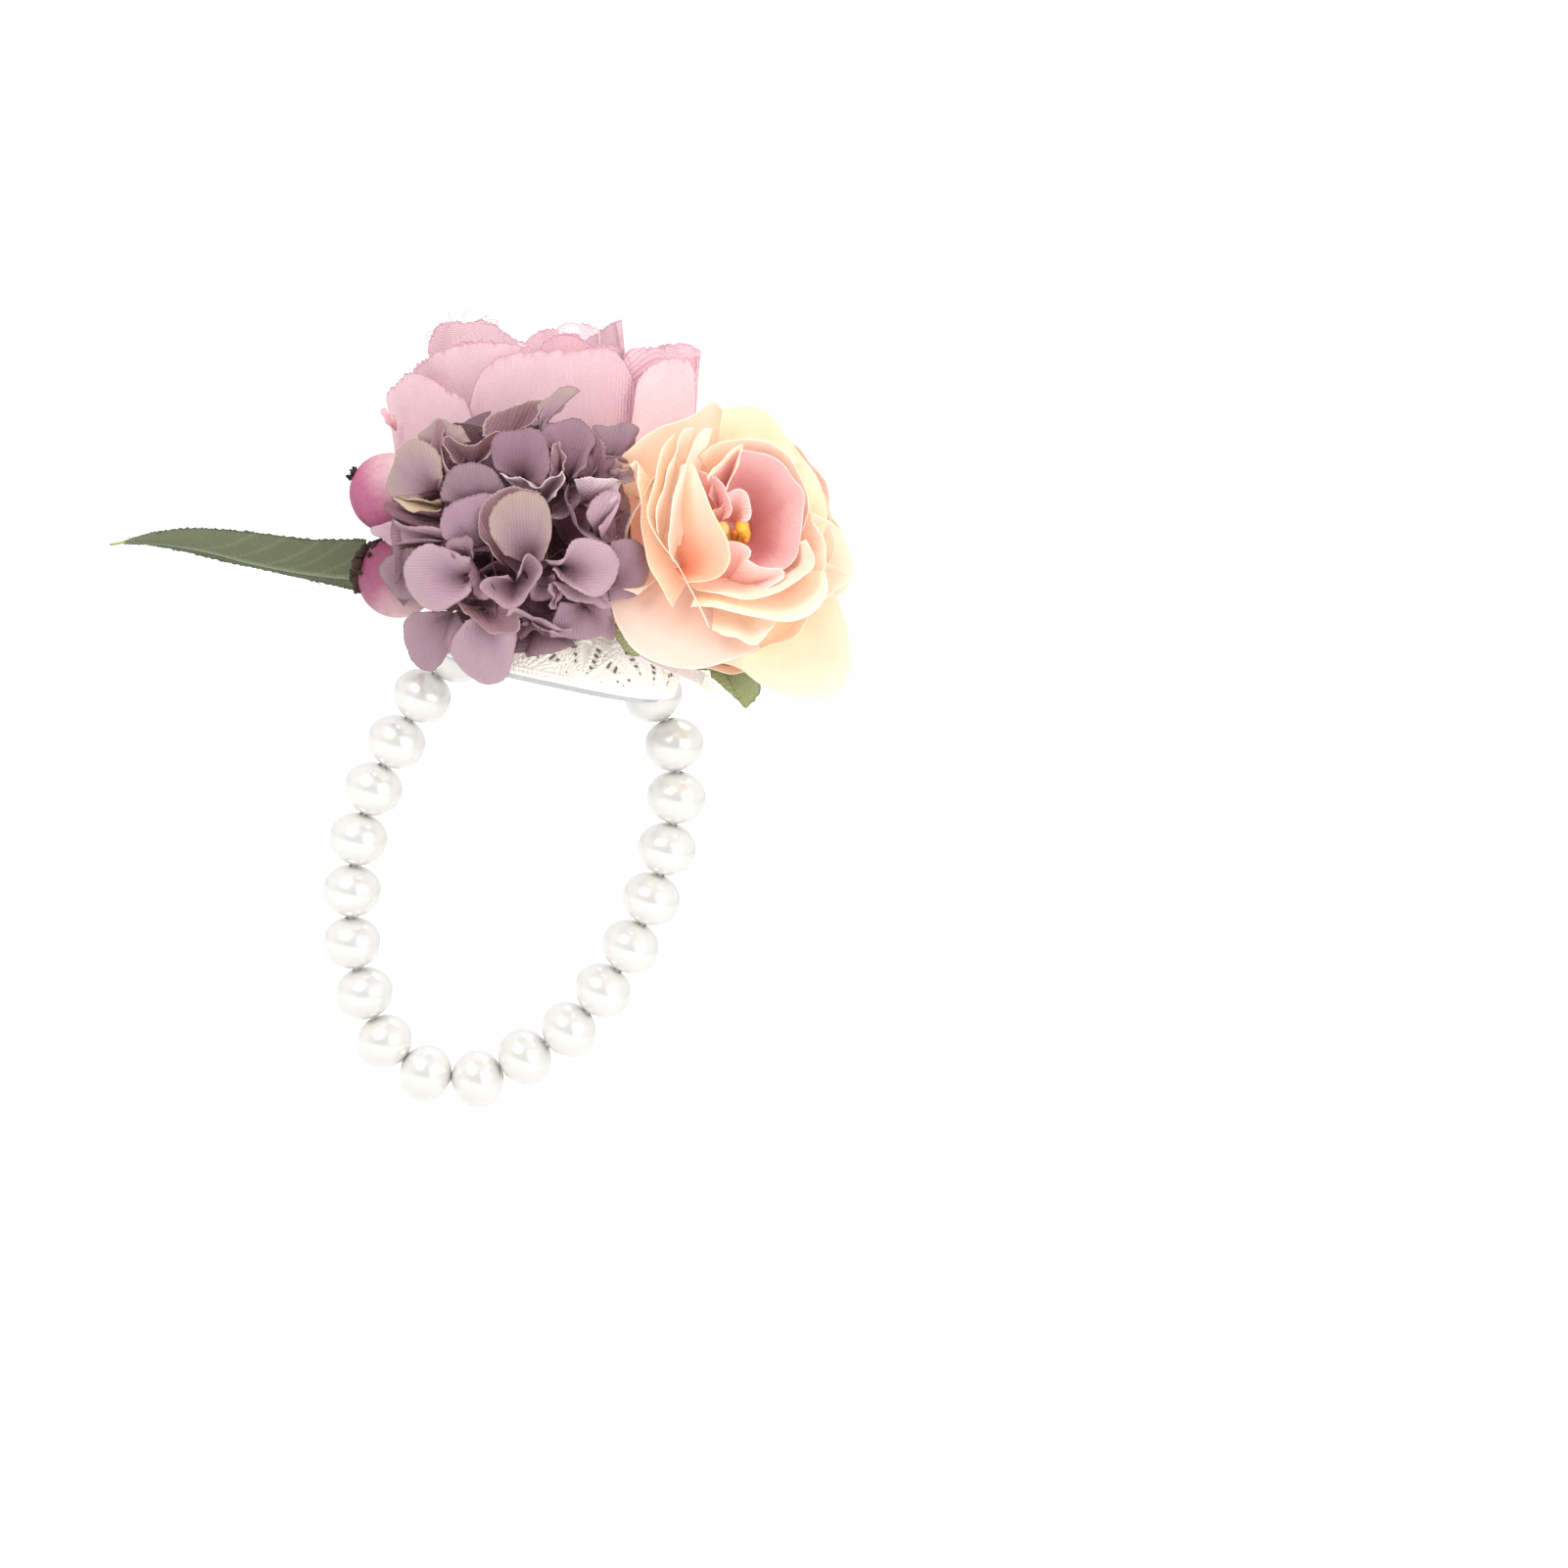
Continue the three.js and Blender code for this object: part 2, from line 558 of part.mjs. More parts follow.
// One stamped layer of petals round a flower's axis: it leaves the stem, swells to its widest
// radius and rises to a lobed rim.
function petalLayer(shares, index, bloom, stemRadius) {
  const { petals, lobe, turn } = shares;
  const { depthShare } = bloom;
  const fullness = shares.fullness ?? bloom.fullnessShare;
  const hole = stemRadius + stemHoleGap + touchGap;
  const radius = shares.radius * bloom.radius;
  const rim = shares.rim * bloom.radius;
  const height = shares.height * bloom.height;
  const lift = index * bloom.layerLift;
  const surface = (u, v) => {
    const angle = TURN * (u + turn / petals);
    const reach = v * (1 - lobe * (1 - Math.abs(Math.cos((petals * TURN * u) / 2))));
    const swell = Math.sin((Math.min(reach / fullness, 1) * Math.PI) / 2);
    const flare = Math.max(reach - fullness, 0) / (1 - fullness);
    const across = hole + (radius - hole) * swell + (rim - radius) * flare;
    return new THREE.Vector3(
      across * Math.cos(angle),
      across * Math.sin(angle) * (depthShare + (1 - depthShare) * (1 - swell)),
      lift + height * reach ** 1.35);
  };
  return shell(surface, { around: layerAround, along: layerAlong, wall: clothWall, wrap: true });
}

// One floret: four rounded petals that open out from its short stem.
function floretGeometry() {
  const hole = hydrangea.branchRadius + touchGap + floret.wall / 2;
  const surface = (u, v) => {
    const angle = TURN * u;
    const lobe = Math.abs(Math.cos((floret.petals * angle) / 2)) ** 0.6;
    const reach = v * (1 + (floret.waistShare - 1) * (1 - lobe));
    const across = hole + (floret.radius - hole) * reach;
    const rise = floret.reach * (1 - (1 - reach) ** 2) * (1 - 0.25 * lobe * v);
    return new THREE.Vector3(across * Math.cos(angle), across * Math.sin(angle), rise);
  };
  return shell(surface, { around: floret.around, along: floret.along, wall: floret.wall, wrap: true });
}

// A floret pressed flat against its neighbours, half way between their directions.
function floretSolid(index) {
  const direction = florets[index];
  const seat = hydrangeaCentre.clone().addScaledVector(direction, floret.seat - floret.wall);
  const open = solidOf(placed(floretGeometry(), seat, direction));
  const pressed = florets.reduce((body, other, i) => {
    const between = other.clone().sub(direction);
    if (i === index || between.length() > neighbourShare) return body;
    return keepBehind(body, { point: hydrangea.centre, facing: between.toArray() }, touchGap / 2);
  }, open);
  const front = keepBehind(
    keepBehind(pressed, pressPlanes.hydrangeaRose, touchGap / 2), pressPlanes.hydrangeaPink, touchGap / 2);
  return largestBody(clearOf(front, keepOut));
}

// A star of green sepals under the rose, with a cup round the stem.
function sepalGeometry() {
  const hole = rose.stemRadius + touchGap + clothWall / 2;
  const surface = (u, v) => {
    const angle = TURN * u;
    const point = Math.max(...sepals.degrees.map((degrees) => {
      const past = THREE.MathUtils.radToDeg(angle) - degrees;
      const off = THREE.MathUtils.euclideanModulo(past + 180, 360) - 180;
      return Math.max(1 - Math.abs(off) / sepals.spread, 0);
    }));
    const reach = v * (sepals.waistShare + (1 - sepals.waistShare) * point);
    const across = hole + (sepals.length - hole) * reach;
    return new THREE.Vector3(across * Math.cos(angle), across * Math.sin(angle),
      -sepals.lift + sepals.height * reach * reach);
  };
  return shell(surface, { around: layerAround, along: 3, wall: clothWall, wrap: true });
}

function stamenGeometry() {
  const outlinePoints = 4 * stamens.lobes;
  const outline = new THREE.Shape(Array.from({ length: outlinePoints }, (_, i) => {
    const angle = (TURN * i) / outlinePoints;
    const dip = stamens.lobeDepth * (1 - Math.cos(stamens.lobes * angle)) / 2;
    const radius = stamens.radius * (1 - dip);
    return new THREE.Vector2(radius * Math.cos(angle), radius * Math.sin(angle));
  }));
  return new THREE.ExtrudeGeometry(outline, { depth: stamens.height, bevelEnabled: false });
}

function budGeometry() {
  const geometry = new THREE.SphereGeometry(pinkBud.radius, pinkBud.facets * 2, pinkBud.facets);
  geometry.rotateX(Math.PI / 2);
  geometry.scale(1, pinkBloom.depthShare, pinkBud.height / (2 * pinkBud.radius));
  return geometry.translate(0, 0, pinkBud.height / 2);
}

// The dried crown at a berry's end: a low star with a flat back.
function crownGeometry({ place, crownFacing }) {
  const { crownRadius } = place;
  const points = 2 * crown.teeth;
  const outline = new THREE.Shape(Array.from({ length: points }, (_, i) => {
    const radius = crownRadius * (i % 2 ? 1 - crown.toothDepth : 1);
    const angle = (TURN * i) / points;
    return new THREE.Vector2(radius * Math.cos(angle), radius * Math.sin(angle));
  }));
  const star = new THREE.ExtrudeGeometry(outline, { depth: crown.height, bevelEnabled: false });
  const seat = Math.sqrt(berry.radius ** 2 - crownRadius ** 2);
  star.translate(0, 0, seat);
  const body = solidOf(placed(star, place, unit(crownFacing)));
  return geometryOf(largestBody(body.subtract(ball(place, berry.radius + touchGap, 20))));
}

// The ribbon follows the lace over its top at one place along the plate.
function ribbonGeometry(extra) {
  const above = touchGap + ribbon.wall;
  const middle = laceLength / 2 - ribbon.fromEnd;
  const surface = (u, v) => {
    const across = (ribbon.startShare + (ribbon.endShare - ribbon.startShare) * u) * 2 - 1;
    const x = middle + ribbon.width * (v - 1 / 2);
    const y = across * (laceWidth / 2 + above);
    const edge = ovalRadius(Math.atan2(y, x), laceLength + 2 * above, laceWidth + 2 * above);
    const rise = (lace.height + above) * (1 - (Math.hypot(x, y) / edge) ** lace.domePower);
    return new THREE.Vector3(x, y, laceFloor + Math.max(rise, 0));
  };
  return shell(surface, { around: ribbon.steps, along: 2, wall: ribbon.wall + 2 * extra, wrap: false });
}

function moundGeometry() {
  const underside = { point: { x: 0, y: 0, z: laceFloor }, facing: [0, 0, -1] };
  const onLace = keepBehind(moundBody(0), underside, 0);
  const stems = [pinkStem, roseStem, hydrangeaStem, berryWire, leafWire].map((stem) => stem(touchGap));
  return geometryOf(largestBody(clearOf(onLace, [baseRoom, ...stems, solidOf(ribbonGeometry(touchGap))])));
}

const material = (color, roughness, metalness = 0) => (
  new THREE.MeshStandardMaterial({ color, roughness, metalness }));
const materials = {
  metal: material(0xc4c4c6, 0.3, 1),
  foam: material(0xf2efe9, 0.9),
  lace: material(0xf4f0e8, 0.85),
  satin: material(0xf2eef2, 0.4),
  elastic: material(0xf0efe9, 0.5),
  pearl: material(0xf3f0e6, 0.2),
  glue: material(0xe9e2cf, 0.35),
  stem: material(0x6d8455, 0.6),
  pinkCloth: material(0xe6b8c5, 0.7),
  peachCloth: material(0xfbd3ad, 0.7),
  heartCloth: material(0xe2808c, 0.7),
  mauveCloth: material(0xa5899a, 0.75),
  leafCloth: material(0x63774f, 0.8),
  berry: material(0xcf5f9f, 0.5),
  crown: material(0x2e1a1a, 0.9),
  stamen: material(0xf2b63c, 0.5),
};

const corsage = new THREE.Group();

function addMesh(group, name, geometry, look) {
  const mesh = new THREE.Mesh(geometry, look);
  mesh.name = name;
  group.add(mesh);
  return mesh;
}

function buildBase() {
  const group = new THREE.Group();
  addMesh(group, 'clip_plate', plateGeometry(), materials.metal);
  addMesh(group, 'foam_pad', padGeometry(), materials.foam);
  addMesh(group, 'lace_cover', laceGeometry(), materials.lace);
  addMesh(group, 'satin_ribbon', ribbonGeometry(0), materials.satin);
  addMesh(group, 'glue_mound', moundGeometry(), materials.glue);
  return group;
}

function buildStrand() {
  const group = new THREE.Group();
  addMesh(group, 'elastic_cord', cordGeometry(), materials.elastic);
  addMesh(group, 'cord_knot', knotGeometry(), materials.elastic).position.copy(knotCentre);
  const shape = pearlGeometry();
  pearlPlaces.forEach(({ centre, along }, i) => {
    const name = `pearl_${String(i + 1).padStart(2, '0')}`;
    const mesh = addMesh(group, name, shape, materials.pearl);
    mesh.position.copy(centre);
    mesh.quaternion.setFromUnitVectors(Y_AXIS, along);
  });
  return group;
}

function buildPinkFlower() {
  const group = new THREE.Group();
  const direction = unit(pinkFlower.facing);
  addMesh(group, 'pink_stem', geometryOf(pinkStem(0)), materials.stem);
  pinkLayerShares.forEach((layer, i) => {
    const shape = petalLayer(layer, i, pinkBloom, pinkFlower.stemRadius);
    const open = solidOf(placed(shape, pinkFlower.base, direction));
    const besideHydrangea = keepBehind(open, flipped(pressPlanes.hydrangeaPink), touchGap / 2);
    const pressed = keepBehind(besideHydrangea, pressPlanes.rosePink, touchGap / 2);
    addMesh(group, layer.name, geometryOf(largestBody(clearOf(pressed, keepOut))), materials.pinkCloth);
  });
  const bud = budGeometry().translate(0, 0, pinkBud.lift);
  addMesh(group, 'pink_bud', placed(bud, pinkFlower.base, direction), materials.pinkCloth);
  return group;
}

function buildRose() {
  const group = new THREE.Group();
  const direction = unit(rose.facing);
  const pressed = (solid) => {
    const besideHydrangea = keepBehind(solid, flipped(pressPlanes.hydrangeaRose), touchGap / 2);
    const besidePink = keepBehind(besideHydrangea, flipped(pressPlanes.rosePink), touchGap / 2);
    return geometryOf(largestBody(clearOf(besidePink, keepOut)));
  };
  addMesh(group, 'rose_stem', geometryOf(roseStem(0)), materials.stem);
  const star = solidOf(placed(sepalGeometry(), rose.base, direction));
  addMesh(group, 'rose_sepals', pressed(star), materials.leafCloth);
  roseLayerShares.forEach((layer, i) => {
    const open = solidOf(placed(petalLayer(layer, i, roseBloom, rose.stemRadius), rose.base, direction));
    const look = layer.name === 'rose_heart_petals' ? materials.heartCloth : materials.peachCloth;
    addMesh(group, layer.name, pressed(open), look);
  });
  const cluster = stamenGeometry().translate(0, 0, stamens.lift);
  addMesh(group, 'rose_stamens', placed(cluster, rose.base, direction), materials.stamen);
  return group;
}

function buildHydrangea() {
  const group = new THREE.Group();
  addMesh(group, 'hydrangea_stem', geometryOf(hydrangeaStem(0)), materials.stem);
  florets.forEach((_, i) => {
    const name = `hydrangea_floret_${String(i + 1).padStart(2, '0')}`;
    addMesh(group, name, geometryOf(floretSolid(i)), materials.mauveCloth);
  });
  return group;
}

function buildBerries() {
  const group = new THREE.Group();
  addMesh(group, 'berry_wire', geometryOf(berryWire(0)), materials.stem);
  for (const fruit of berries) {
    const shape = new THREE.SphereGeometry(berry.radius, berry.facets, berry.facets / 2);
    addMesh(group, fruit.name, shape, materials.berry).position.copy(fruit.place);
    addMesh(group, `${fruit.name}_crown`, crownGeometry(fruit), materials.crown);
  }
  return group;
}

function buildLeaf() {
  const group = new THREE.Group();
  addMesh(group, 'leaf_blade', leafGeometry(), materials.leafCloth);
  addMesh(group, 'leaf_wire', geometryOf(leafWire(0)), materials.stem);
  return group;
}

const builders = [
  buildBase, buildStrand, buildPinkFlower, buildRose, buildHydrangea, buildBerries, buildLeaf,
];
for (const build of builders) corsage.add(build());

export default corsage;
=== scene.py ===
import math
import random

import bpy
import numpy as np
from mathutils import Matrix, Vector, noise


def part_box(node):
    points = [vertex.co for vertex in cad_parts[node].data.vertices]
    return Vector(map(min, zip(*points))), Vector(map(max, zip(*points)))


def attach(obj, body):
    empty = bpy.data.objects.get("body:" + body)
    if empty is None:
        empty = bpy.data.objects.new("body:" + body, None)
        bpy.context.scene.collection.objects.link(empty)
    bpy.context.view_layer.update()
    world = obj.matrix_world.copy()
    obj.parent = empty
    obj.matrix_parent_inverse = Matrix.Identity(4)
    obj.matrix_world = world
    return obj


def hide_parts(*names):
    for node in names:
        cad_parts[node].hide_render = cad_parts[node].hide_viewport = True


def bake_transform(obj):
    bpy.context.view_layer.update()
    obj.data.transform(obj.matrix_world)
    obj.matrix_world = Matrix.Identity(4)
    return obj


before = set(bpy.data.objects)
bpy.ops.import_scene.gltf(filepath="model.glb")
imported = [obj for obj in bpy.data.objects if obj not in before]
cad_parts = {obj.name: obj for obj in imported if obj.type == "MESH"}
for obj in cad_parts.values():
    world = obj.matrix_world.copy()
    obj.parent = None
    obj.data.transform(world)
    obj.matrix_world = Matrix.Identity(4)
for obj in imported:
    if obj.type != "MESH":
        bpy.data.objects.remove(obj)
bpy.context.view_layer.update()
bpy.context.scene.view_settings.view_transform = "Standard"

# The looks of a wrist corsage. Metres, +Z from the wrist to the flowers, +X across the wrist,
# -Y towards the camera. Pixels are those of the 1601 by 1601 photograph, and a depth is a place
# along Y. Sizes that are typed in millimetres are multiplied by MM where they are used.
MM = 0.001
TURN = 2 * math.pi
chance = random.Random(11)

# Camera: where the photograph was taken from.
FRAME_PIXELS = 1601
PIXELS_PER_METRE = 7310
ORIGIN_PIXEL = (568, 685)
EYE_DISTANCE = 0.62
ELEVATION = math.radians(12)
ROLL = math.radians(12)
SENSOR_MM = 36
CLIP_START = 0.01

look = Vector((0, math.cos(ELEVATION), -math.sin(ELEVATION)))
level_right = Vector((1, 0, 0))
level_up = level_right.cross(look)
right = level_right * math.cos(ROLL) + level_up * math.sin(ROLL)
up = level_up * math.cos(ROLL) - level_right * math.sin(ROLL)
half_frame = FRAME_PIXELS / 2
eye = (
    -EYE_DISTANCE * look
    - right * (ORIGIN_PIXEL[0] - half_frame) / PIXELS_PER_METRE
    + up * (ORIGIN_PIXEL[1] - half_frame) / PIXELS_PER_METRE
)
focal_pixels = EYE_DISTANCE * PIXELS_PER_METRE


def at_pixel(pixel, y):
    """The point of the plane Y = y that this pixel of the photograph shows."""
    ray = look + right * (pixel[0] - half_frame) / focal_pixels
    ray = ray - up * (pixel[1] - half_frame) / focal_pixels
    return eye + ray * (y - eye.y) / ray.y


def pixels_of(places):
    """Where the photograph shows these places, as columns of across and down."""
    away = np.array(places) - np.array(eye)
    depth = away @ np.array(look)
    across = half_frame + focal_pixels * (away @ np.array(right)) / depth
    return np.stack([across, half_frame - focal_pixels * (away @ np.array(up)) / depth], axis=-1)


def add_camera():
    data = bpy.data.cameras.new("camera")
    data.sensor_width = SENSOR_MM
    data.lens = SENSOR_MM * focal_pixels / FRAME_PIXELS
    data.clip_start = CLIP_START
    camera = bpy.data.objects.new("camera", data)
    bpy.context.scene.collection.objects.link(camera)
    turn = Matrix((right, up, -look)).transposed()
    camera.matrix_world = Matrix.Translation(eye) @ turn.to_4x4()
    bpy.context.scene.camera = camera


# Curves, as arrays of points.

def unit(vectors):
    """Vectors along the last axis, brought to length one."""
    return vectors / np.maximum(np.linalg.norm(vectors, axis=-1, keepdims=True), 1e-12)


def smooth_curve(points, per_span=12):
    """Points along the centripetal Catmull-Rom curve through these points."""
    rows = [np.array(point, float) for point in points]
    rows = [2 * rows[0] - rows[1], *rows, 2 * rows[-1] - rows[-2]]
    share = np.linspace(0, 1, per_span, endpoint=False)[:, None]
    pieces = []
    for before, start, end, after in zip(rows, rows[1:], rows[2:], rows[3:]):
        spans = [(before, start), (start, end), (end, after)]
        d0, d1, d2 = (max(np.linalg.norm(b - a), 1e-9) ** 0.5 for a, b in spans)
        leave = ((start - before) / d0 - (end - before) / (d0 + d1) + (end - start) / d1) * d1
        arrive = ((end - start) / d1 - (after - start) / (d1 + d2) + (after - end) / d2) * d1
        cubic = 2 * start - 2 * end + leave + arrive
        square = -3 * start + 3 * end - 2 * leave - arrive
        pieces.append(start + leave * share + square * share**2 + cubic * share**3)
    return np.vstack([*pieces, rows[-2][None, :]])


def lengths_along(points):
    steps = np.linalg.norm(np.diff(points, axis=0), axis=1)
    return np.concatenate([[0], np.cumsum(steps)])


def places_along(points, distances):
    """The points at these distances along a line of points."""
    along = lengths_along(points)
    return np.stack([np.interp(distances, along, points[:, k]) for k in range(3)], axis=1)


# Meshes.

def linear(colour):
    """A colour as it looks on a screen, as the linear one that Blender works with."""
    return tuple((c / 12.92) if c <= 0.04045 else ((c + 0.055) / 1.055) ** 2.4 for c in colour)


def grid_faces(columns, rows, first=0, turned=False):
    """Quads of a grid of points stored column by column."""
    faces = []
    for i in range(columns - 1):
        for j in range(rows - 1):
            a = first + i * rows + j
            quad = (a, a + rows, a + rows + 1, a + 1)
            faces.append(quad[::-1] if turned else quad)
    return faces


def grid_normals(grid):
    return unit(np.cross(np.gradient(grid, axis=0), np.gradient(grid, axis=1)))


ANY_WAY = (0.31, 0.52, 0.8)
BUMP_WAVES = 2.3
BUMP_SHIFT = 900


class Piece:
    """Points, faces, paint and cloth places of one object while it is put together."""

    def __init__(self):
        self.points, self.faces, self.paint, self.cloth = [], [], [], []

    def add(self, points, faces, paint, cloth=None):
        first = len(self.points)
        self.points.extend(map(tuple, points))
        self.faces.extend(tuple(first + k for k in face) for face in faces)
        self.paint.extend(map(tuple, paint))
        self.cloth.extend(map(tuple, np.zeros((len(points), 3)) if cloth is None else cloth))

    def add_sheet(self, grid, paint, cloth, thickness):
        """A thin closed sheet round a grid of points."""
        columns, rows = grid.shape[:2]
        normal = grid_normals(grid) * thickness / 2
        sides = [(grid + normal).reshape(-1, 3), (grid - normal).reshape(-1, 3)]
        count = columns * rows
        faces = grid_faces(columns, rows) + grid_faces(columns, rows, count, True)
        edge = [i * rows for i in range(columns)]
        edge += [(columns - 1) * rows + j for j in range(1, rows)]
        edge += [i * rows + rows - 1 for i in range(columns - 2, -1, -1)]
        edge += list(range(rows - 2, 0, -1))
        for a, b in zip(edge, edge[1:] + edge[:1]):
            faces.append((b, a, a + count, b + count))
        flat_paint, flat_cloth = paint.reshape(-1, 3), cloth.reshape(-1, 3)
        self.add(np.vstack(sides), faces, np.vstack([flat_paint] * 2), np.vstack([flat_cloth] * 2))

    def add_tube(self, line, radius, colour, sides=6):
        """A round tube along a line of points, closed at both ends. radius may be a list."""
        line = np.array(line, float)
        radii = np.broadcast_to(np.array(radius, float), (len(line),))
        ahead = unit(np.gradient(line, axis=0))
        across = np.cross(ahead[0], ANY_WAY)
        points = []
        for place, way, r in zip(line, ahead, radii):
            across = unit(across - way * np.dot(across, way))
            other = np.cross(way, across)
            for k in range(sides):
                angle = TURN * k / sides
                points.append(place + r * (across * math.cos(angle) + other * math.sin(angle)))
        faces = [tuple(range(sides))[::-1]]
        faces.append(tuple(len(points) - sides + k for k in range(sides)))
        for i in range(len(line) - 1):
            for k in range(sides):
                a, b = i * sides + k, i * sides + (k + 1) % sides
                faces.append((a, b, b + sides, a + sides))
        self.add(points, faces, [colour] * len(points))

    def add_ball(self, centre, radii, colour, turn=None, around=12, rings=8, bumps=0.0):
        """A ball or egg. colour is one colour, or a function of the direction from its middle."""
        points, paint = [], []
        for ring in range(rings + 1):
            polar = math.pi * ring / rings
            for k in range(around if 0 < ring < rings else 1):
                angle = TURN * k / around
                way = Vector((math.sin(polar) * math.cos(angle),
                              math.sin(polar) * math.sin(angle), math.cos(polar)))
                swell = 1 + bumps * noise.noise(way * BUMP_WAVES + Vector(centre) * BUMP_SHIFT)
                place = Vector(way[axis] * radii[axis] * swell for axis in range(3))
                if turn is not None:
                    place = turn @ place
                points.append(Vector(centre) + place)
                paint.append(colour(way) if callable(colour) else colour)
        at = [0, *(1 + around * r for r in range(rings - 1))]
        last = len(points) - 1
        faces = []
        for k in range(around):
            k2 = (k + 1) % around
            faces.append((0, at[1] + k, at[1] + k2))
            faces.append((last, at[-1] + k2, at[-1] + k))
            for r in range(1, rings - 1):
                a, b = at[r], at[r + 1]
                faces.append((a + k, b + k, b + k2, a + k2))
        self.add(points, faces, paint)

    def build(self, name, material, slot, smooth=True):
        mesh = bpy.data.meshes.new(name)
        mesh.from_pydata(self.points, [], self.faces)
        paint = np.ones((len(self.points), 4), np.float32)
        paint[:, :3] = np.array(self.paint, np.float32)
        mesh.attributes.new("paint", "FLOAT_COLOR", "POINT").data.foreach_set("color", paint.ravel())
        cloth = np.array(self.cloth, np.float32).ravel()
        mesh.attributes.new("cloth", "FLOAT_VECTOR", "POINT").data.foreach_set("vector", cloth)
        mesh.polygons.foreach_set("use_smooth", [smooth] * len(mesh.polygons))
        mesh.materials.append(material)
        mesh.update()
        thing = bpy.data.objects.new(name, mesh)
        bpy.context.scene.collection.objects.link(thing)
        return thing


# Colours on a screen, of all but the petals.
COLOURS = {
    "lace": (0.98, 0.97, 0.93),
    # The slits' grey is painted shade in the crochet's holes.
    "slit shade": (0.47, 0.45, 0.41),
    "foam": (0.93, 0.92, 0.9),
    "ribbon": (0.98, 0.97, 0.98),
    "ribbon shade": (0.93, 0.9, 0.96),
    "ribbon thread": (0.96, 0.92, 0.84),
    "elastic": (0.95, 0.95, 0.93),
    "pearl": (0.9, 0.895, 0.875),
    "plate": (0.78, 0.78, 0.78),
    "glue": (0.91, 0.88, 0.8),
    "tape": (0.42, 0.52, 0.33),
    "brown tape": (0.52, 0.4, 0.44),
    "pink thread": (0.8, 0.6, 0.66),
    "berry deep": (0.7, 0.29, 0.47),
    "berry mid": (0.81, 0.45, 0.59),
    "berry pale": (0.92, 0.78, 0.78),
    "crown": (0.24, 0.16, 0.13),
    "leaf": (0.39, 0.42, 0.32),
    "leaf vein": (0.5, 0.54, 0.42),
    "leaf fold": (0.68, 0.73, 0.62),
    "leaf top edge": (0.25, 0.3, 0.22),
    "leaf low edge": (0.2, 0.25, 0.18),
    "leaf top thread": (0.3, 0.36, 0.27),
    "leaf low thread": (0.24, 0.3, 0.22),
    "leaf tip": (0.62, 0.66, 0.36),
}


def shown(name):
    return np.array(linear(COLOURS[name]))


def on_head(thing, *nodes):
    """The piece stands for these CAD nodes and moves with the flowers."""
    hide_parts(*nodes)
    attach(thing, "flower_head")
    return thing


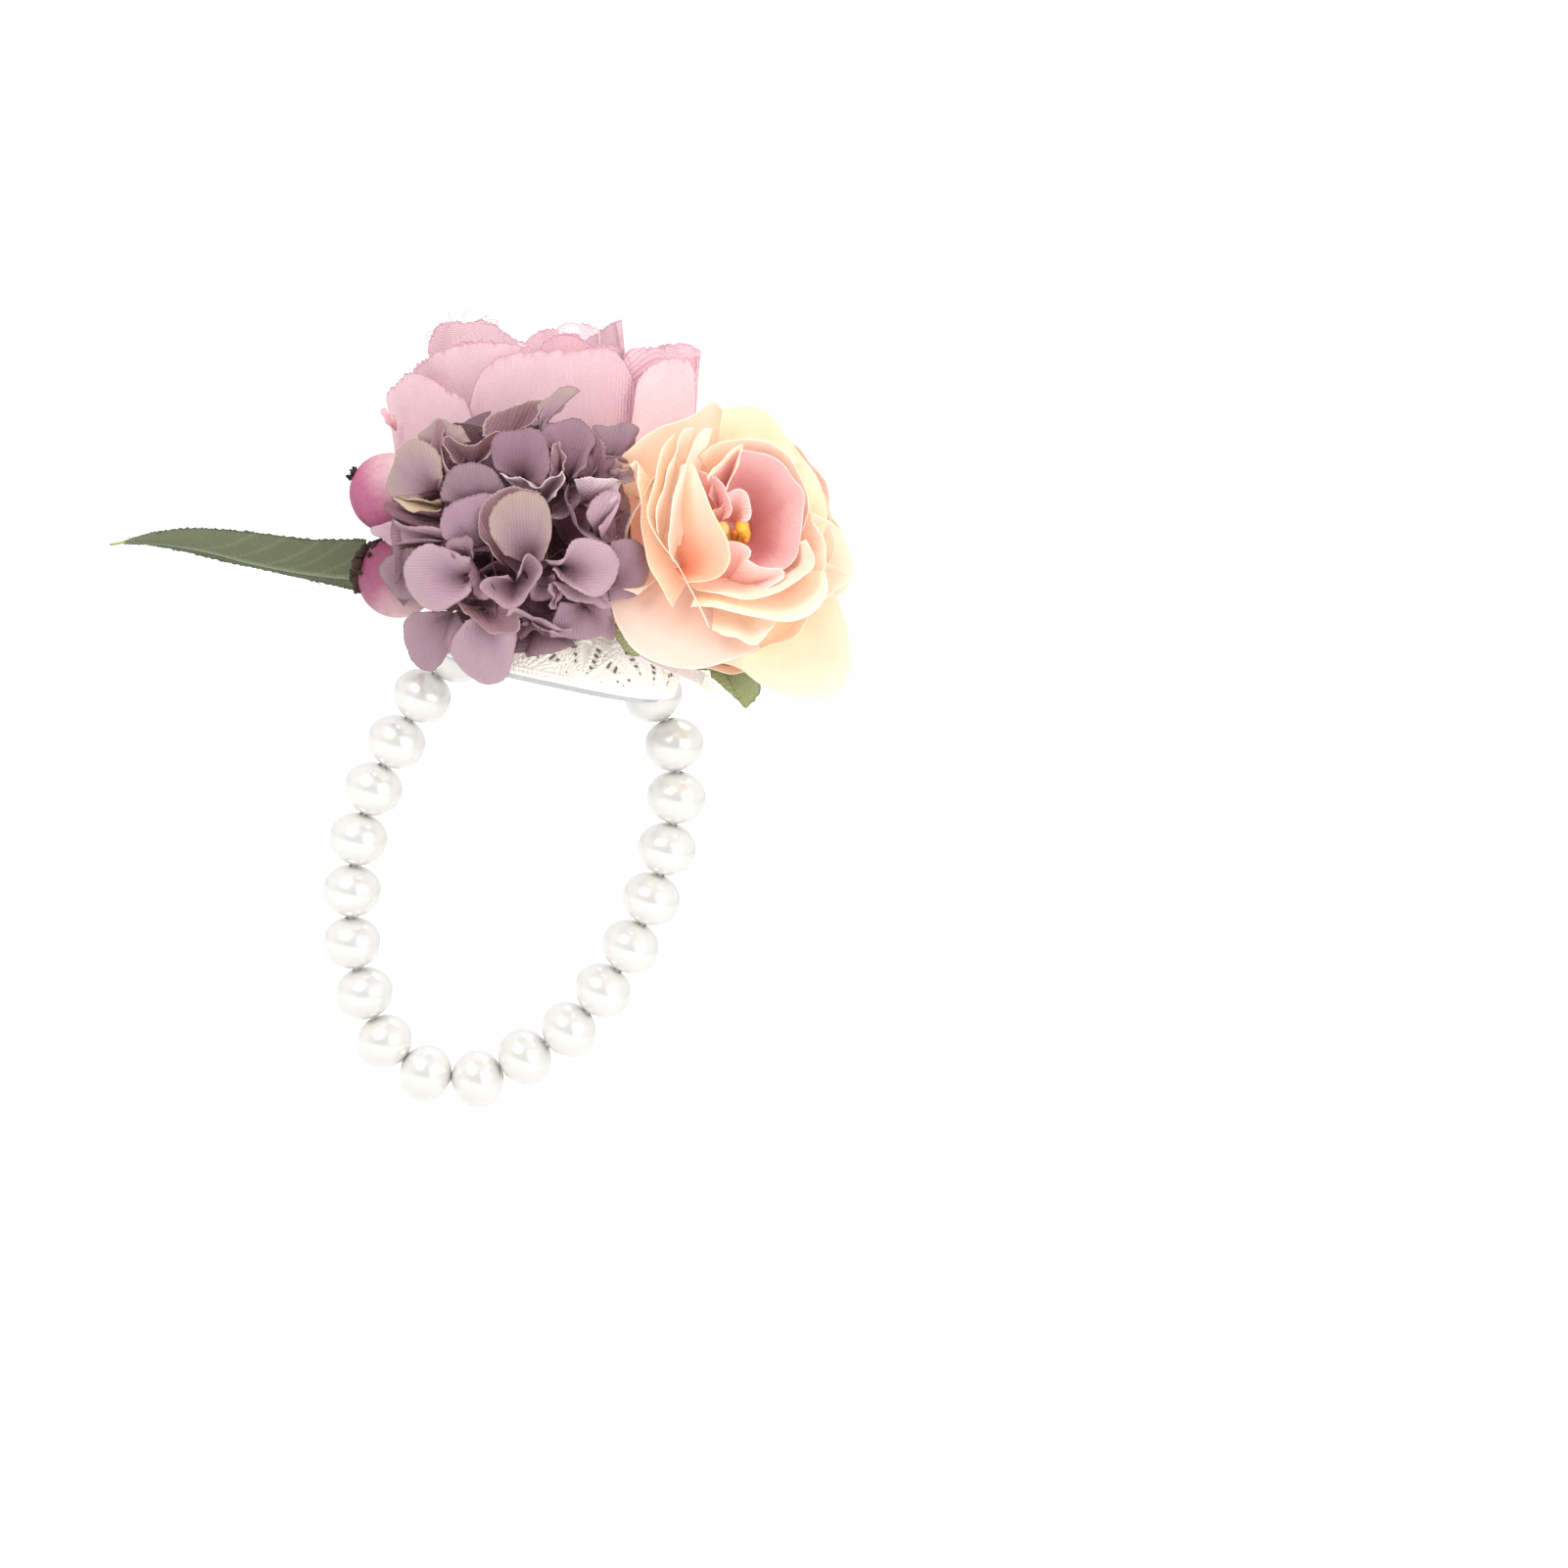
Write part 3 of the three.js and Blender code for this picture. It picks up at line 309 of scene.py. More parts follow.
# Petals. A tint is the colour at the petal's root, middle, tip and cut edge: the cloth's own colour,
# with painted shade in the darker roots deep in the flowers and some painted highlight in the paler
# edges of the rose's tints.
TINTS = {
    "pink": ((0.66, 0.46, 0.49), (0.84, 0.67, 0.7), (0.91, 0.76, 0.79), (0.77, 0.53, 0.6)),
    "blush_pink": ((0.86, 0.65, 0.69), (0.95, 0.79, 0.81), (0.97, 0.83, 0.85), (0.82, 0.56, 0.64)),
    "deep_pink": ((0.76, 0.52, 0.58), (0.87, 0.67, 0.71), (0.93, 0.75, 0.78), (0.78, 0.52, 0.6)),
    # This tint is the pink cloth painted near white: a painted highlight of a lit petal.
    "painted_highlight_pink": ((0.97, 0.88, 0.91), (1.0, 0.96, 0.98), (1.0, 0.98, 0.99), (0.9, 0.68, 0.76)),
    "lemon": ((0.99, 0.84, 0.7), (0.98, 0.89, 0.77), (0.97, 0.91, 0.8), (0.98, 0.92, 0.82)),
    "peach": ((0.98, 0.8, 0.69), (0.99, 0.85, 0.77), (1.0, 0.89, 0.81), (1.0, 0.92, 0.85)),
    "blush": ((0.98, 0.85, 0.79), (0.95, 0.83, 0.77), (0.92, 0.81, 0.75), (0.98, 0.88, 0.83)),
    "shell": ((1.0, 0.92, 0.85), (1.0, 0.92, 0.85), (1.0, 0.92, 0.85), (1.0, 0.94, 0.88)),
    "cream": ((0.98, 0.82, 0.72), (0.99, 0.88, 0.8), (1.0, 0.91, 0.82), (1.0, 0.93, 0.86)),
    # orange is painted shade: the shaded side of "cream to orange".
    "orange": ((0.88, 0.52, 0.4), (0.93, 0.6, 0.48), (0.95, 0.66, 0.54), (1.0, 0.84, 0.72)),
    "salmon": ((0.84, 0.52, 0.52), (0.94, 0.71, 0.71), (0.96, 0.77, 0.77), (0.98, 0.85, 0.84)),
    "rosy": ((0.95, 0.68, 0.66), (0.99, 0.82, 0.8), (1.0, 0.87, 0.84), (1.0, 0.92, 0.9)),
    "mauve": ((0.44, 0.31, 0.35), (0.6, 0.475, 0.525), (0.66, 0.53, 0.58), (0.54, 0.4, 0.44)),
    "pale": ((0.54, 0.41, 0.46), (0.7, 0.57, 0.62), (0.74, 0.62, 0.66), (0.66, 0.52, 0.56)),
    "beige": ((0.5, 0.37, 0.4), (0.63, 0.51, 0.55), (0.67, 0.58, 0.54), (0.6, 0.48, 0.46)),
    "grey": ((0.42, 0.3, 0.34), (0.55, 0.43, 0.48), (0.58, 0.48, 0.51), (0.5, 0.38, 0.41)),
    "rimmed": ((0.4, 0.26, 0.3), (0.53, 0.38, 0.42), (0.6, 0.46, 0.48), (0.76, 0.64, 0.62)),
    "arched": ((0.42, 0.3, 0.35), (0.53, 0.4, 0.45), (0.58, 0.45, 0.5), (0.48, 0.34, 0.38)),
    # The lipped tint's pale tip and edge are partly the cloth's paler lip and partly painted highlight
    # on the fold.
    "lipped": ((0.48, 0.34, 0.39), (0.68, 0.55, 0.6), (0.81, 0.72, 0.74), (0.87, 0.79, 0.79)),
    "tan": ((0.6, 0.48, 0.46), (0.74, 0.64, 0.56), (0.79, 0.71, 0.6), (0.68, 0.57, 0.47)),
    # This tint is mauve painted dark: the shade of petals sunk deep in the hydrangea and of the florets
    # that fill its gaps.
    "painted_shade_mauve": ((0.34, 0.21, 0.25), (0.45, 0.31, 0.35), (0.53, 0.39, 0.43), (0.44, 0.3, 0.33)),
    "sepal": ((0.5, 0.56, 0.36), (0.62, 0.67, 0.47), (0.68, 0.72, 0.53), (0.5, 0.56, 0.38)),
    "coral": ((0.85, 0.6, 0.62), (0.93, 0.7, 0.72), (0.95, 0.76, 0.78), (0.85, 0.55, 0.6)),
}
# Thickness and edge are in millimetres, and the rest are shares of a petal or of its creases.
CLOTH = 0.1
EDGE_WIDTH = 0.16
MOTTLE = 0.035
ROLL_FROM = 0.72
RIM_CROWDING = 1.9
ROOT_SHARE = 0.05
RUFFLES = (2.2, 4.2)
BROAD_CREASES = (5, 2.2)
FINE_CREASES = (17, 1.3)
BROAD_SHARE = 1.4
FINE_SHARE = 0.7
SEEDS = 50
FINE_SEED = 9
RAGGED = (-0.6, 1)
EVEN_SPREAD = 0.65
BULGE_SIDES = 0.6


def petal_paint(tint, grid, along_share):
    """Colours over a petal: root to tip, with the painted shade of the darker root, a little mottled,
    and the edge's colour. A tint such as "blush to orange" turns from one into the other across the
    petal, a painted shade that deepens towards one side."""
    names = tint.split(" to ")
    sides = [np.array([linear(colour) for colour in TINTS[name]]) for name in (names[0], names[-1])]
    u = np.linspace(0, 1, grid.shape[0])[:, None, None]
    root, middle, tip, edge = (a * (1 - u) + b * u for a, b in zip(*sides))
    v = along_share[None, :, None]
    paint = np.where(v < 0.5, root + (middle - root) * 2 * v, middle + (tip - middle) * (2 * v - 1))
    steps = np.linalg.norm(np.diff(grid, axis=1), axis=2)
    to_rim = np.cumsum(steps[:, ::-1], axis=1)[:, ::-1]
    to_rim = np.concatenate([to_rim, np.zeros((grid.shape[0], 1))], axis=1)
    across = np.linalg.norm(np.diff(grid, axis=0), axis=2)
    from_left = np.concatenate([np.zeros((1, grid.shape[1])), np.cumsum(across, axis=0)])
    to_side = np.minimum(from_left, from_left[-1:] - from_left)
    nearest = np.minimum(to_rim, to_side) / (EDGE_WIDTH * MM)
    closeness = np.exp(-(nearest**2))[:, :, None]
    paint = paint * (1 - closeness) + edge * closeness
    return np.clip(paint * (1 + chance.uniform(-MOTTLE, MOTTLE)), 0, 1)


def creasing(u, v, waves, seed, more):
    return noise.noise(Vector((u * waves[0] + seed, v * waves[1], seed + more)))


def finish_petal(part, grid, tint, toward, along_share, roll=0.0, ruffle=0.3, fray=0.1, crease=0.12):
    """Rolls the rim away from where the petal faces, ruffles it, frays its cut edge and adds it.
    toward is which way the petal's face looks. Sizes here are in millimetres."""
    normal = grid_normals(grid)
    facing = np.sign(np.sum(normal * np.array(toward), axis=2).mean()) or 1
    normal = normal * facing
    columns, rows = grid.shape[:2]
    v = along_share[None, :, None]
    u = np.linspace(0, 1, columns)[:, None, None]
    near_rim = np.clip((v - ROLL_FROM) / (1 - ROLL_FROM), 0, 1)
    phase, waves = chance.uniform(0, TURN), chance.uniform(*RUFFLES)
    wave = np.sin(TURN * waves * u + phase) * v**3 * np.sin(math.pi * u)
    shift = -roll * near_rim**2 + ruffle * wave
    seed = chance.uniform(0, SEEDS)
    for i in range(columns):
        for j in range(rows):
            broad = creasing(i / columns, j / rows, BROAD_CREASES, seed, 0)
            fine = creasing(i / columns, j / rows, FINE_CREASES, seed, FINE_SEED)
            shift[i, j] += crease * (BROAD_SHARE * broad + FINE_SHARE * fine * v[0, j, 0])
    grid = grid + normal * shift * MM
    outward = unit(grid[:, -1] - grid[:, -2])
    ragged = np.array([chance.uniform(*RAGGED) for _ in range(columns)])[:, None]
    grid[:, -1] += outward * ragged * fray * MM
    middle = columns // 2
    along = unit(grid[middle, -1] - grid[middle, 0])
    across = unit(np.cross(normal.mean(axis=(0, 1)), along))
    local = (grid - grid[middle, 0]) / MM
    cloth = np.stack([local @ across, local @ along, np.full((columns, rows), seed)], axis=2)
    part.add_sheet(grid, petal_paint(tint, grid, along_share), cloth, CLOTH * MM)


def shares_to_rim(rows):
    """Shares from a petal's root to its rim, closer together near the rim."""
    return 1 - (1 - ROOT_SHARE) * (1 - np.linspace(0, 1, rows)) ** RIM_CROWDING


def lofted_petal(part, base, rim, tint, toward, bulge=0.0, cup=1.0, columns=56, rows=13, **finish):
    """A petal from its root to a traced rim. bulge, in millimetres, swells it towards where it
    faces, and cup above 1 makes it open out first and then rise along toward."""
    line = smooth_curve(rim)
    spread = 0.5 - 0.5 * np.cos(np.linspace(0, math.pi, columns))
    spread = (1 - EVEN_SPREAD) * spread + EVEN_SPREAD * np.linspace(0, 1, columns)
    edge = places_along(line, spread * lengths_along(line)[-1])
    base = np.array(base, float)
    toward = unit(np.array(toward, float))
    share = shares_to_rim(rows)
    v = share[None, :, None]
    reach = edge[:, None, :] - base
    rise = (reach @ toward)[:, :, None] * toward
    grid = base + (reach - rise) * v ** (1 / cup) + rise * v**cup
    side = np.sin(np.linspace(0, math.pi, columns))[:, None, None] ** BULGE_SIDES
    grid = grid + toward * bulge * MM * 4 * v * (1 - v) * side
    finish_petal(part, grid, tint, toward, share, **finish)


def own_facing(base, rim):
    """Which way a petal's face looks, towards the camera side."""
    base = np.array(base, float)
    arms = [np.array(point, float) - base for point in rim]
    normal = unit(sum(np.cross(a, b) for a, b in zip(arms, arms[1:])))
    return normal if normal @ np.array(look) < 0 else -normal


def through_three(values, share):
    """The value at a share of the way, on the parabola through a first, middle and last value."""
    first, middle, last = values
    return (
        first * (2 * share**2 - 3 * share + 1)
        + middle * (4 * share - 4 * share**2)
        + last * (2 * share**2 - share)
    )


def traced(pixels, middle_y, depths):
    """Rim points from their pixels. depths are millimetres in front of middle_y."""
    last = len(pixels) - 1
    return [
        at_pixel(pixel, (middle_y - through_three(depths, k / last)) * MM)
        for k, pixel in enumerate(pixels)
    ]


class Bloom:
    """A flower whose layers of petals stand round an axis, as in the CAD model."""

    def __init__(self, base, facing, depth_share, fullness):
        self.base = Vector(base) * MM
        self.axis = Vector(facing).normalized()
        self.turn = Vector((0, 0, 1)).rotation_difference(self.axis)
        self.depth_share, self.fullness = depth_share, fullness

    def place(self, across, angle, height, swell=1.0):
        flat = self.depth_share + (1 - self.depth_share) * (1 - swell)
        local = Vector((across * math.cos(angle), across * math.sin(angle) * flat, height))
        return self.base + self.turn @ (local * MM)

    def layer_place(self, layer, angle, reach):
        radius, rim, height, lift = layer
        swell = math.sin(min(reach / self.fullness, 1) * math.pi / 2)
        flare = max(reach - self.fullness, 0) / (1 - self.fullness)
        across = STEM_HOLE + (radius - STEM_HOLE) * swell + (rim - radius) * flare
        return self.place(across, angle, lift + height * reach**RISE_POWER, swell)

    def petal(self, part, layer, angle, half, tint, columns=44, rows=13, **finish):
        """A petal of a layer, round its middle angle. One side is tucked under its neighbour."""
        share = shares_to_rim(rows)
        grid = np.zeros((columns, rows, 3))
        for i in range(columns):
            t = 2 * i / (columns - 1) - 1
            rounded = math.cos(t * math.pi / 2 * LOBE_SIDES) ** LOBE_POWER
            rim_share = LOBE_LEAST + (1 - LOBE_LEAST) * rounded
            tucked = (layer[0] * (1 + TUCK * t), layer[1] * (1 + TUCK * t), *layer[2:])
            for j, v in enumerate(share):
                turn = angle + half * t * (ROOT_WIDTH + (1 - ROOT_WIDTH) * v)
                grid[i, j] = self.layer_place(tucked, turn, v * rim_share)
        toward = self.place(1, angle, 0) - self.base
        finish_petal(part, grid, tint, toward.normalized(), share, **finish)

    def traced_petal(self, part, layer, side, rim, tint, columns=96, rows=14, **finish):
        """A petal that lies on a layer and ends at a traced rim. side is the angle, in degrees,
        of the side where it stands."""
        angles = math.radians(side) + np.linspace(-REACH_ROUND, REACH_ROUND, 61)
        reaches = np.linspace(*REACHES, 41)
        turns, shares = (table.ravel() for table in np.meshgrid(angles, reaches))
        spots = np.array([self.layer_place(layer, a, v) for a, v in zip(turns, shares)])
        seen = pixels_of(spots)
        ends = []
        for pixel in rim:
            miss = np.linalg.norm(seen - np.array(pixel), axis=1)
            best = int(np.argmin(miss + SIDE_PULL * (turns - math.radians(side)) ** 2))
            end = at_pixel(pixel, float(spots[best, 1]))
            ends.append((*end, turns[best], shares[best]))
        line = smooth_curve([end[:3] for end in ends])
        place = np.linspace(0, lengths_along(line)[-1], columns)
        edge = places_along(line, place)
        knots = lengths_along(line)[::12][:len(ends)]
        turn = np.interp(place, knots, [end[3] for end in ends])
        reach = np.interp(place, knots, [end[4] for end in ends])
        middle = turn[columns // 2]
        share = shares_to_rim(rows)
        grid = np.zeros((columns, rows, 3))
        for i in range(columns):
            off = edge[i] - np.array(self.layer_place(layer, turn[i], reach[i]))
            for j, v in enumerate(share):
                angle = middle + (turn[i] - middle) * (0.5 + 0.5 * min(1, WIDENING * v))
                grid[i, j] = np.array(self.layer_place(layer, angle, v * reach[i])) + off * v**2
        toward = self.place(1, middle, 0) - self.base
        finish_petal(part, grid, tint, toward.normalized(), share, **finish)


# How petals lie in their layer, in shares of its size, and where traced rims are looked for.
TUCK = 0.035
LOBE_LEAST = 0.48
LOBE_SIDES = 0.97
LOBE_POWER = 0.55
ROOT_WIDTH = 0.55
WIDENING = 1.6
RISE_POWER = 1.35
REACHES = (0.45, 1.12)
REACH_ROUND = 1.15
SIDE_PULL = 5
STEM_HOLE = 1.9
PINK = Bloom((-3.2, 7.5, 14), (-0.28, 0.24, 0.93), 0.8, 0.42)
ROSE = Bloom((17.5, 0.6, 19.8), (0.14, -0.94, 0.32), 1, 0.5)
HYDRANGEA_MIDDLE = Vector((-8, -9.5, 18)) * MM

# Layers as radius, rim radius, height and lift in millimetres, as in the CAD model.
PINK_LAYERS = {
    "outer": (20, 20.6, 28.4, 0),
    "second": (17.2, 17.6, 30.4, 1.5),
    "third": (14, 12.6, 30.1, 3),
    "inner": (10, 7.4, 28, 4.5),
}
ROSE_LAYERS = {
    "outer": (17.4, 20, 11.9, 0),
    "second": (15.4, 17.2, 14, 1.3),
    "third": (13.4, 13.6, 17, 2.6),
    "inner": (11, 10.2, 17, 3.9),
    "heart": (8.6, 8, 13.5, 5.2),
}

# Petals that the photograph shows. Hydrangea: tint, lift from the ball and bulge in
# millimetres, root pixel, rim pixels.
HYDRANGEA_PETALS = [
    ("beige", 3.0, 2.4, (545, 577), [(515, 566), (501, 545), (501, 523), (515, 507), (538, 502),
     (556, 510), (563, 531), (561, 553), (554, 572)]),
    ("rimmed", 1.6, 1.2, (523, 584), [(507, 570), (491, 545), (489, 527), (499, 508), (519, 498),
     (540, 500), (552, 504)]),
    ("pale", 3.6, -1.2, (526, 595), [(519, 588), (501, 589), (492, 599), (501, 612), (517, 619),
     (536, 612), (548, 594), (551, 575), (539, 563), (534, 579), (529, 586)]),
    ("pale", 2.4, 2.0, (566, 577), [(556, 572), (572, 571), (584, 553), (603, 550), (623, 559),
     (632, 578), (627, 598), (613, 609), (593, 604), (576, 594), (564, 581)]),
    ("mauve", 0.0, 1.5, (619, 594), [(623, 553), (644, 550), (658, 564), (665, 584), (654, 602),
     (636, 611), (622, 614)]),
    ("grey", 0.6, 2.0, (503, 521), [(451, 512), (450, 500), (458, 484), (476, 473), (493, 473),
     (509, 486), (517, 504)]),
    ("mauve", 1.4, 2.0, (493, 566), [(474, 559), (458, 553), (448, 537), (452, 521), (470, 510),
     (491, 504), (511, 506)]),
    ("mauve", 2.0, 0.9, (482, 574), [(462, 570), (456, 557), (466, 547), (480, 551), (484, 566)]),
    ("pale", 2.0, 1.6, (484, 586), [(480, 571), (458, 561), (431, 557), (417, 570), (414, 590),
     (419, 608), (431, 621), (448, 624), (466, 616), (481, 603)]),
    ("grey", -1.0, 1.0, (429, 586), [(427, 559), (407, 561), (393, 574), (388, 586), (395, 602),
     (415, 611), (427, 612)]),
    ("pale", 0.6, 0.8, (458, 551), [(454, 541), (431, 538), (407, 534), (386, 537), (381, 543),
     (391, 551), (405, 555), (427, 550), (446, 553)]),
    ("beige", 0.2, 2.2, (450, 504), [(413, 512), (399, 504), (396, 484), (403, 464), (419, 453),
     (440, 453), (450, 468), (452, 488)]),
    ("tan", 0.9, 0.6, (452, 517), [(450, 510), (425, 510), (399, 504), (404, 512), (419, 521),
     (438, 523), (450, 522)]),
    ("painted_shade_mauve", -0.5, 1.0, (454, 531), [(448, 521), (421, 521), (400, 512), (394, 515), (401, 525),
     (415, 535), (434, 541), (452, 542)]),
    ("beige", -2.0, 1.0, (456, 459), [(427, 451), (429, 441), (442, 432), (456, 430), (470, 436),
     (481, 451)]),
    ("rimmed", 0.0, 1.0, (460, 494), [(450, 488), (441, 468), (440, 449), (448, 430), (455, 431),
     (450, 451), (454, 472), (464, 490)]),
    ("rimmed", 0.3, -0.8, (478, 482), [(462, 472), (456, 457), (455, 448), (470, 451), (486, 452),
     (501, 445), (511, 441), (505, 457), (495, 468)]),
    ("arched", 0.6, 2.6, (536, 494), [(507, 480), (501, 464), (507, 447), (521, 438), (538, 436),
     (552, 443), (561, 459), (561, 478), (554, 496)]),
    ("lipped", 1.6, -1.4, (550, 521), [(510, 483), (523, 488), (540, 492), (550, 497), (562, 490),
     (574, 480), (573, 496), (566, 507)]),
    ("rimmed", -1.4, -0.9, (517, 447), [(493, 446), (495, 431), (511, 419), (534, 412), (554, 409),
     (556, 416), (545, 429), (534, 438)]),
    ("beige", -2.0, 0.9, (551, 439), [(549, 427), (552, 412), (564, 401), (580, 396), (591, 399),
     (580, 412), (564, 425), (555, 440)]),
    ("arched", -0.5, 1.6, (582, 490), [(557, 453), (553, 440), (564, 432), (582, 429), (603, 434),
     (606, 451), (599, 472), (587, 488)]),
    ("rimmed", 0.2, 0.9, (570, 490), [(561, 488), (562, 468), (564, 455), (571, 451), (576, 468),
     (576, 480)]),
    ("painted_shade_mauve", -1.4, 0.9, (603, 490), [(588, 486), (597, 476), (605, 451), (618, 459), (624, 476),
     (620, 490)]),
    ("rimmed", -1.0, 0.6, (615, 494), [(605, 439), (618, 457), (630, 472), (634, 480), (624, 489)]),
    ("grey", -1.9, 1.0, (622, 469), [(612, 451), (605, 438), (623, 432), (642, 434), (655, 439),
     (644, 454), (630, 467)]),
    ("lipped", 0.2, 1.2, (595, 514), [(586, 490), (601, 487), (619, 489), (634, 492), (626, 512),
     (611, 525)]),
    ("beige", 0.4, 0.5, (624, 489), [(623, 480), (636, 478), (649, 482), (646, 491), (631, 492)]),
    ("pale", 1.2, 1.0, (612, 551), [(603, 534), (598, 525), (603, 512), (617, 502), (633, 503),
     (630, 519), (618, 531), (611, 539), (618, 554)]),
    ("painted_shade_mauve", -3.0, -0.8, (576, 553), [(564, 533), (564, 516), (580, 512), (597, 523), (603, 545),
     (585, 564)]),
    ("rimmed", 0.2, 1.2, (494, 621), [(466, 614), (476, 627), (493, 640), (511, 648), (528, 644),
     (530, 631), (516, 616)]),
    ("pale", 0.8, 0.5, (541, 632), [(516, 628), (519, 622), (540, 624), (554, 634), (585, 644),
     (564, 646), (544, 637)]),
    ("mauve", -0.6, 1.2, (595, 616), [(572, 614), (561, 645), (564, 652), (595, 650), (626, 652),
     (626, 631), (622, 619)]),
    ("painted_shade_mauve", -2.2, 0.6, (540, 629), [(526, 631), (527, 650), (544, 646), (562, 646), (560, 631)]),
    ("mauve", -0.4, 1.6, (466, 623), [(423, 625), (414, 635), (411, 653), (421, 674), (440, 684),
     (452, 677), (462, 661), (477, 641)]),
    ("pale", 0.0, 1.6, (501, 621), [(476, 633), (463, 653), (464, 674), (476, 692), (495, 699),
     (514, 691), (524, 672), (528, 645)]),
    ("pale", 1.0, 0.3, (567, 591), [(561, 596), (565, 621), (569, 619), (574, 604)]),
    ("mauve", 1.0, 0.8, (491, 586), [(479, 567), (480, 586), (484, 606), (495, 612), (504, 608),
     (500, 590)]),
    ("pale", 0.6, 0.6, (589, 596), [(564, 594), (577, 609), (601, 617), (624, 620), (618, 608)]),
    ("mauve", 0.0, 0.6, (556, 590), [(548, 586), (542, 611), (556, 613), (568, 607), (566, 586)]),
]

# Pink flower: layer and size as a share of it, tint, side of the flower in degrees, roll, rim
# pixels.
PINK_PETALS = [
    ("outer", 1.0, "pink", -85, 0.6, [(481, 480), (479, 426), (485, 399), (496, 377), (514, 365),
     (536, 360), (570, 358), (594, 358), (617, 356), (632, 366), (646, 393), (648, 417), (648, 480)]),
    ("outer", 1.07, "pink", -145, 0.4, [(410, 480), (406, 444), (399, 410), (405, 393), (416, 382),
     (434, 382), (454, 395), (476, 410), (482, 430), (485, 480)]),
    ("outer", 1.09, "blush_pink", -28, 0.5, [(648, 466), (647, 404), (655, 381), (670, 370),
     (692, 366), (704, 370), (708, 388), (704, 410), (699, 466)]),
    ("second", 1.08, "pink", -128, 0.4, [(424, 440), (426, 395), (428, 377), (442, 364), (474, 352),
     (505, 350), (541, 355), (570, 364)]),
    ("second", 1.12, "deep_pink", 0, 0.9, [(640, 410), (634, 384), (636, 365), (648, 356), (677, 355),
     (701, 351), (714, 358), (713, 375), (706, 390)]),
    ("second", 1.0, "pink", 130, 0.3, [(444, 384), (439, 355), (445, 335), (460, 328), (478, 329),
     (492, 327), (507, 333), (525, 345), (543, 352), (560, 366)]),
    ("third", 1.0, "pink", 120, 0.2, [(532, 362), (535, 352), (545, 341), (559, 336), (572, 338),
     (580, 350), (584, 366)]),
    # This petal is painted near white: a painted highlight.
    ("third", 1.0, "painted_highlight_pink", 75, 0.2, [(556, 366), (562, 345), (574, 332), (594, 331), (613, 338),
     (619, 359)]),
    ("third", 1.0, "pink", 50, 0.2, [(584, 366), (588, 354), (605, 341), (619, 335), (633, 327),
     (630, 341), (632, 368)]),
]

# The pink flower's small folded end at its left, and rims with loose threads.
CORAL_ROOT = (404, 440)
CORAL_PIXELS = [(402, 436), (393, 429), (389, 421), (393, 417), (399, 424), (405, 432)]
CORAL_DEPTHS = (-3, -2.5, -3)
THREADED_RIMS = [[(439, 350), (447, 334), (460, 328), (478, 329), (492, 327), (507, 333)]]
THREAD_DEPTHS = (-17, -19, -21)

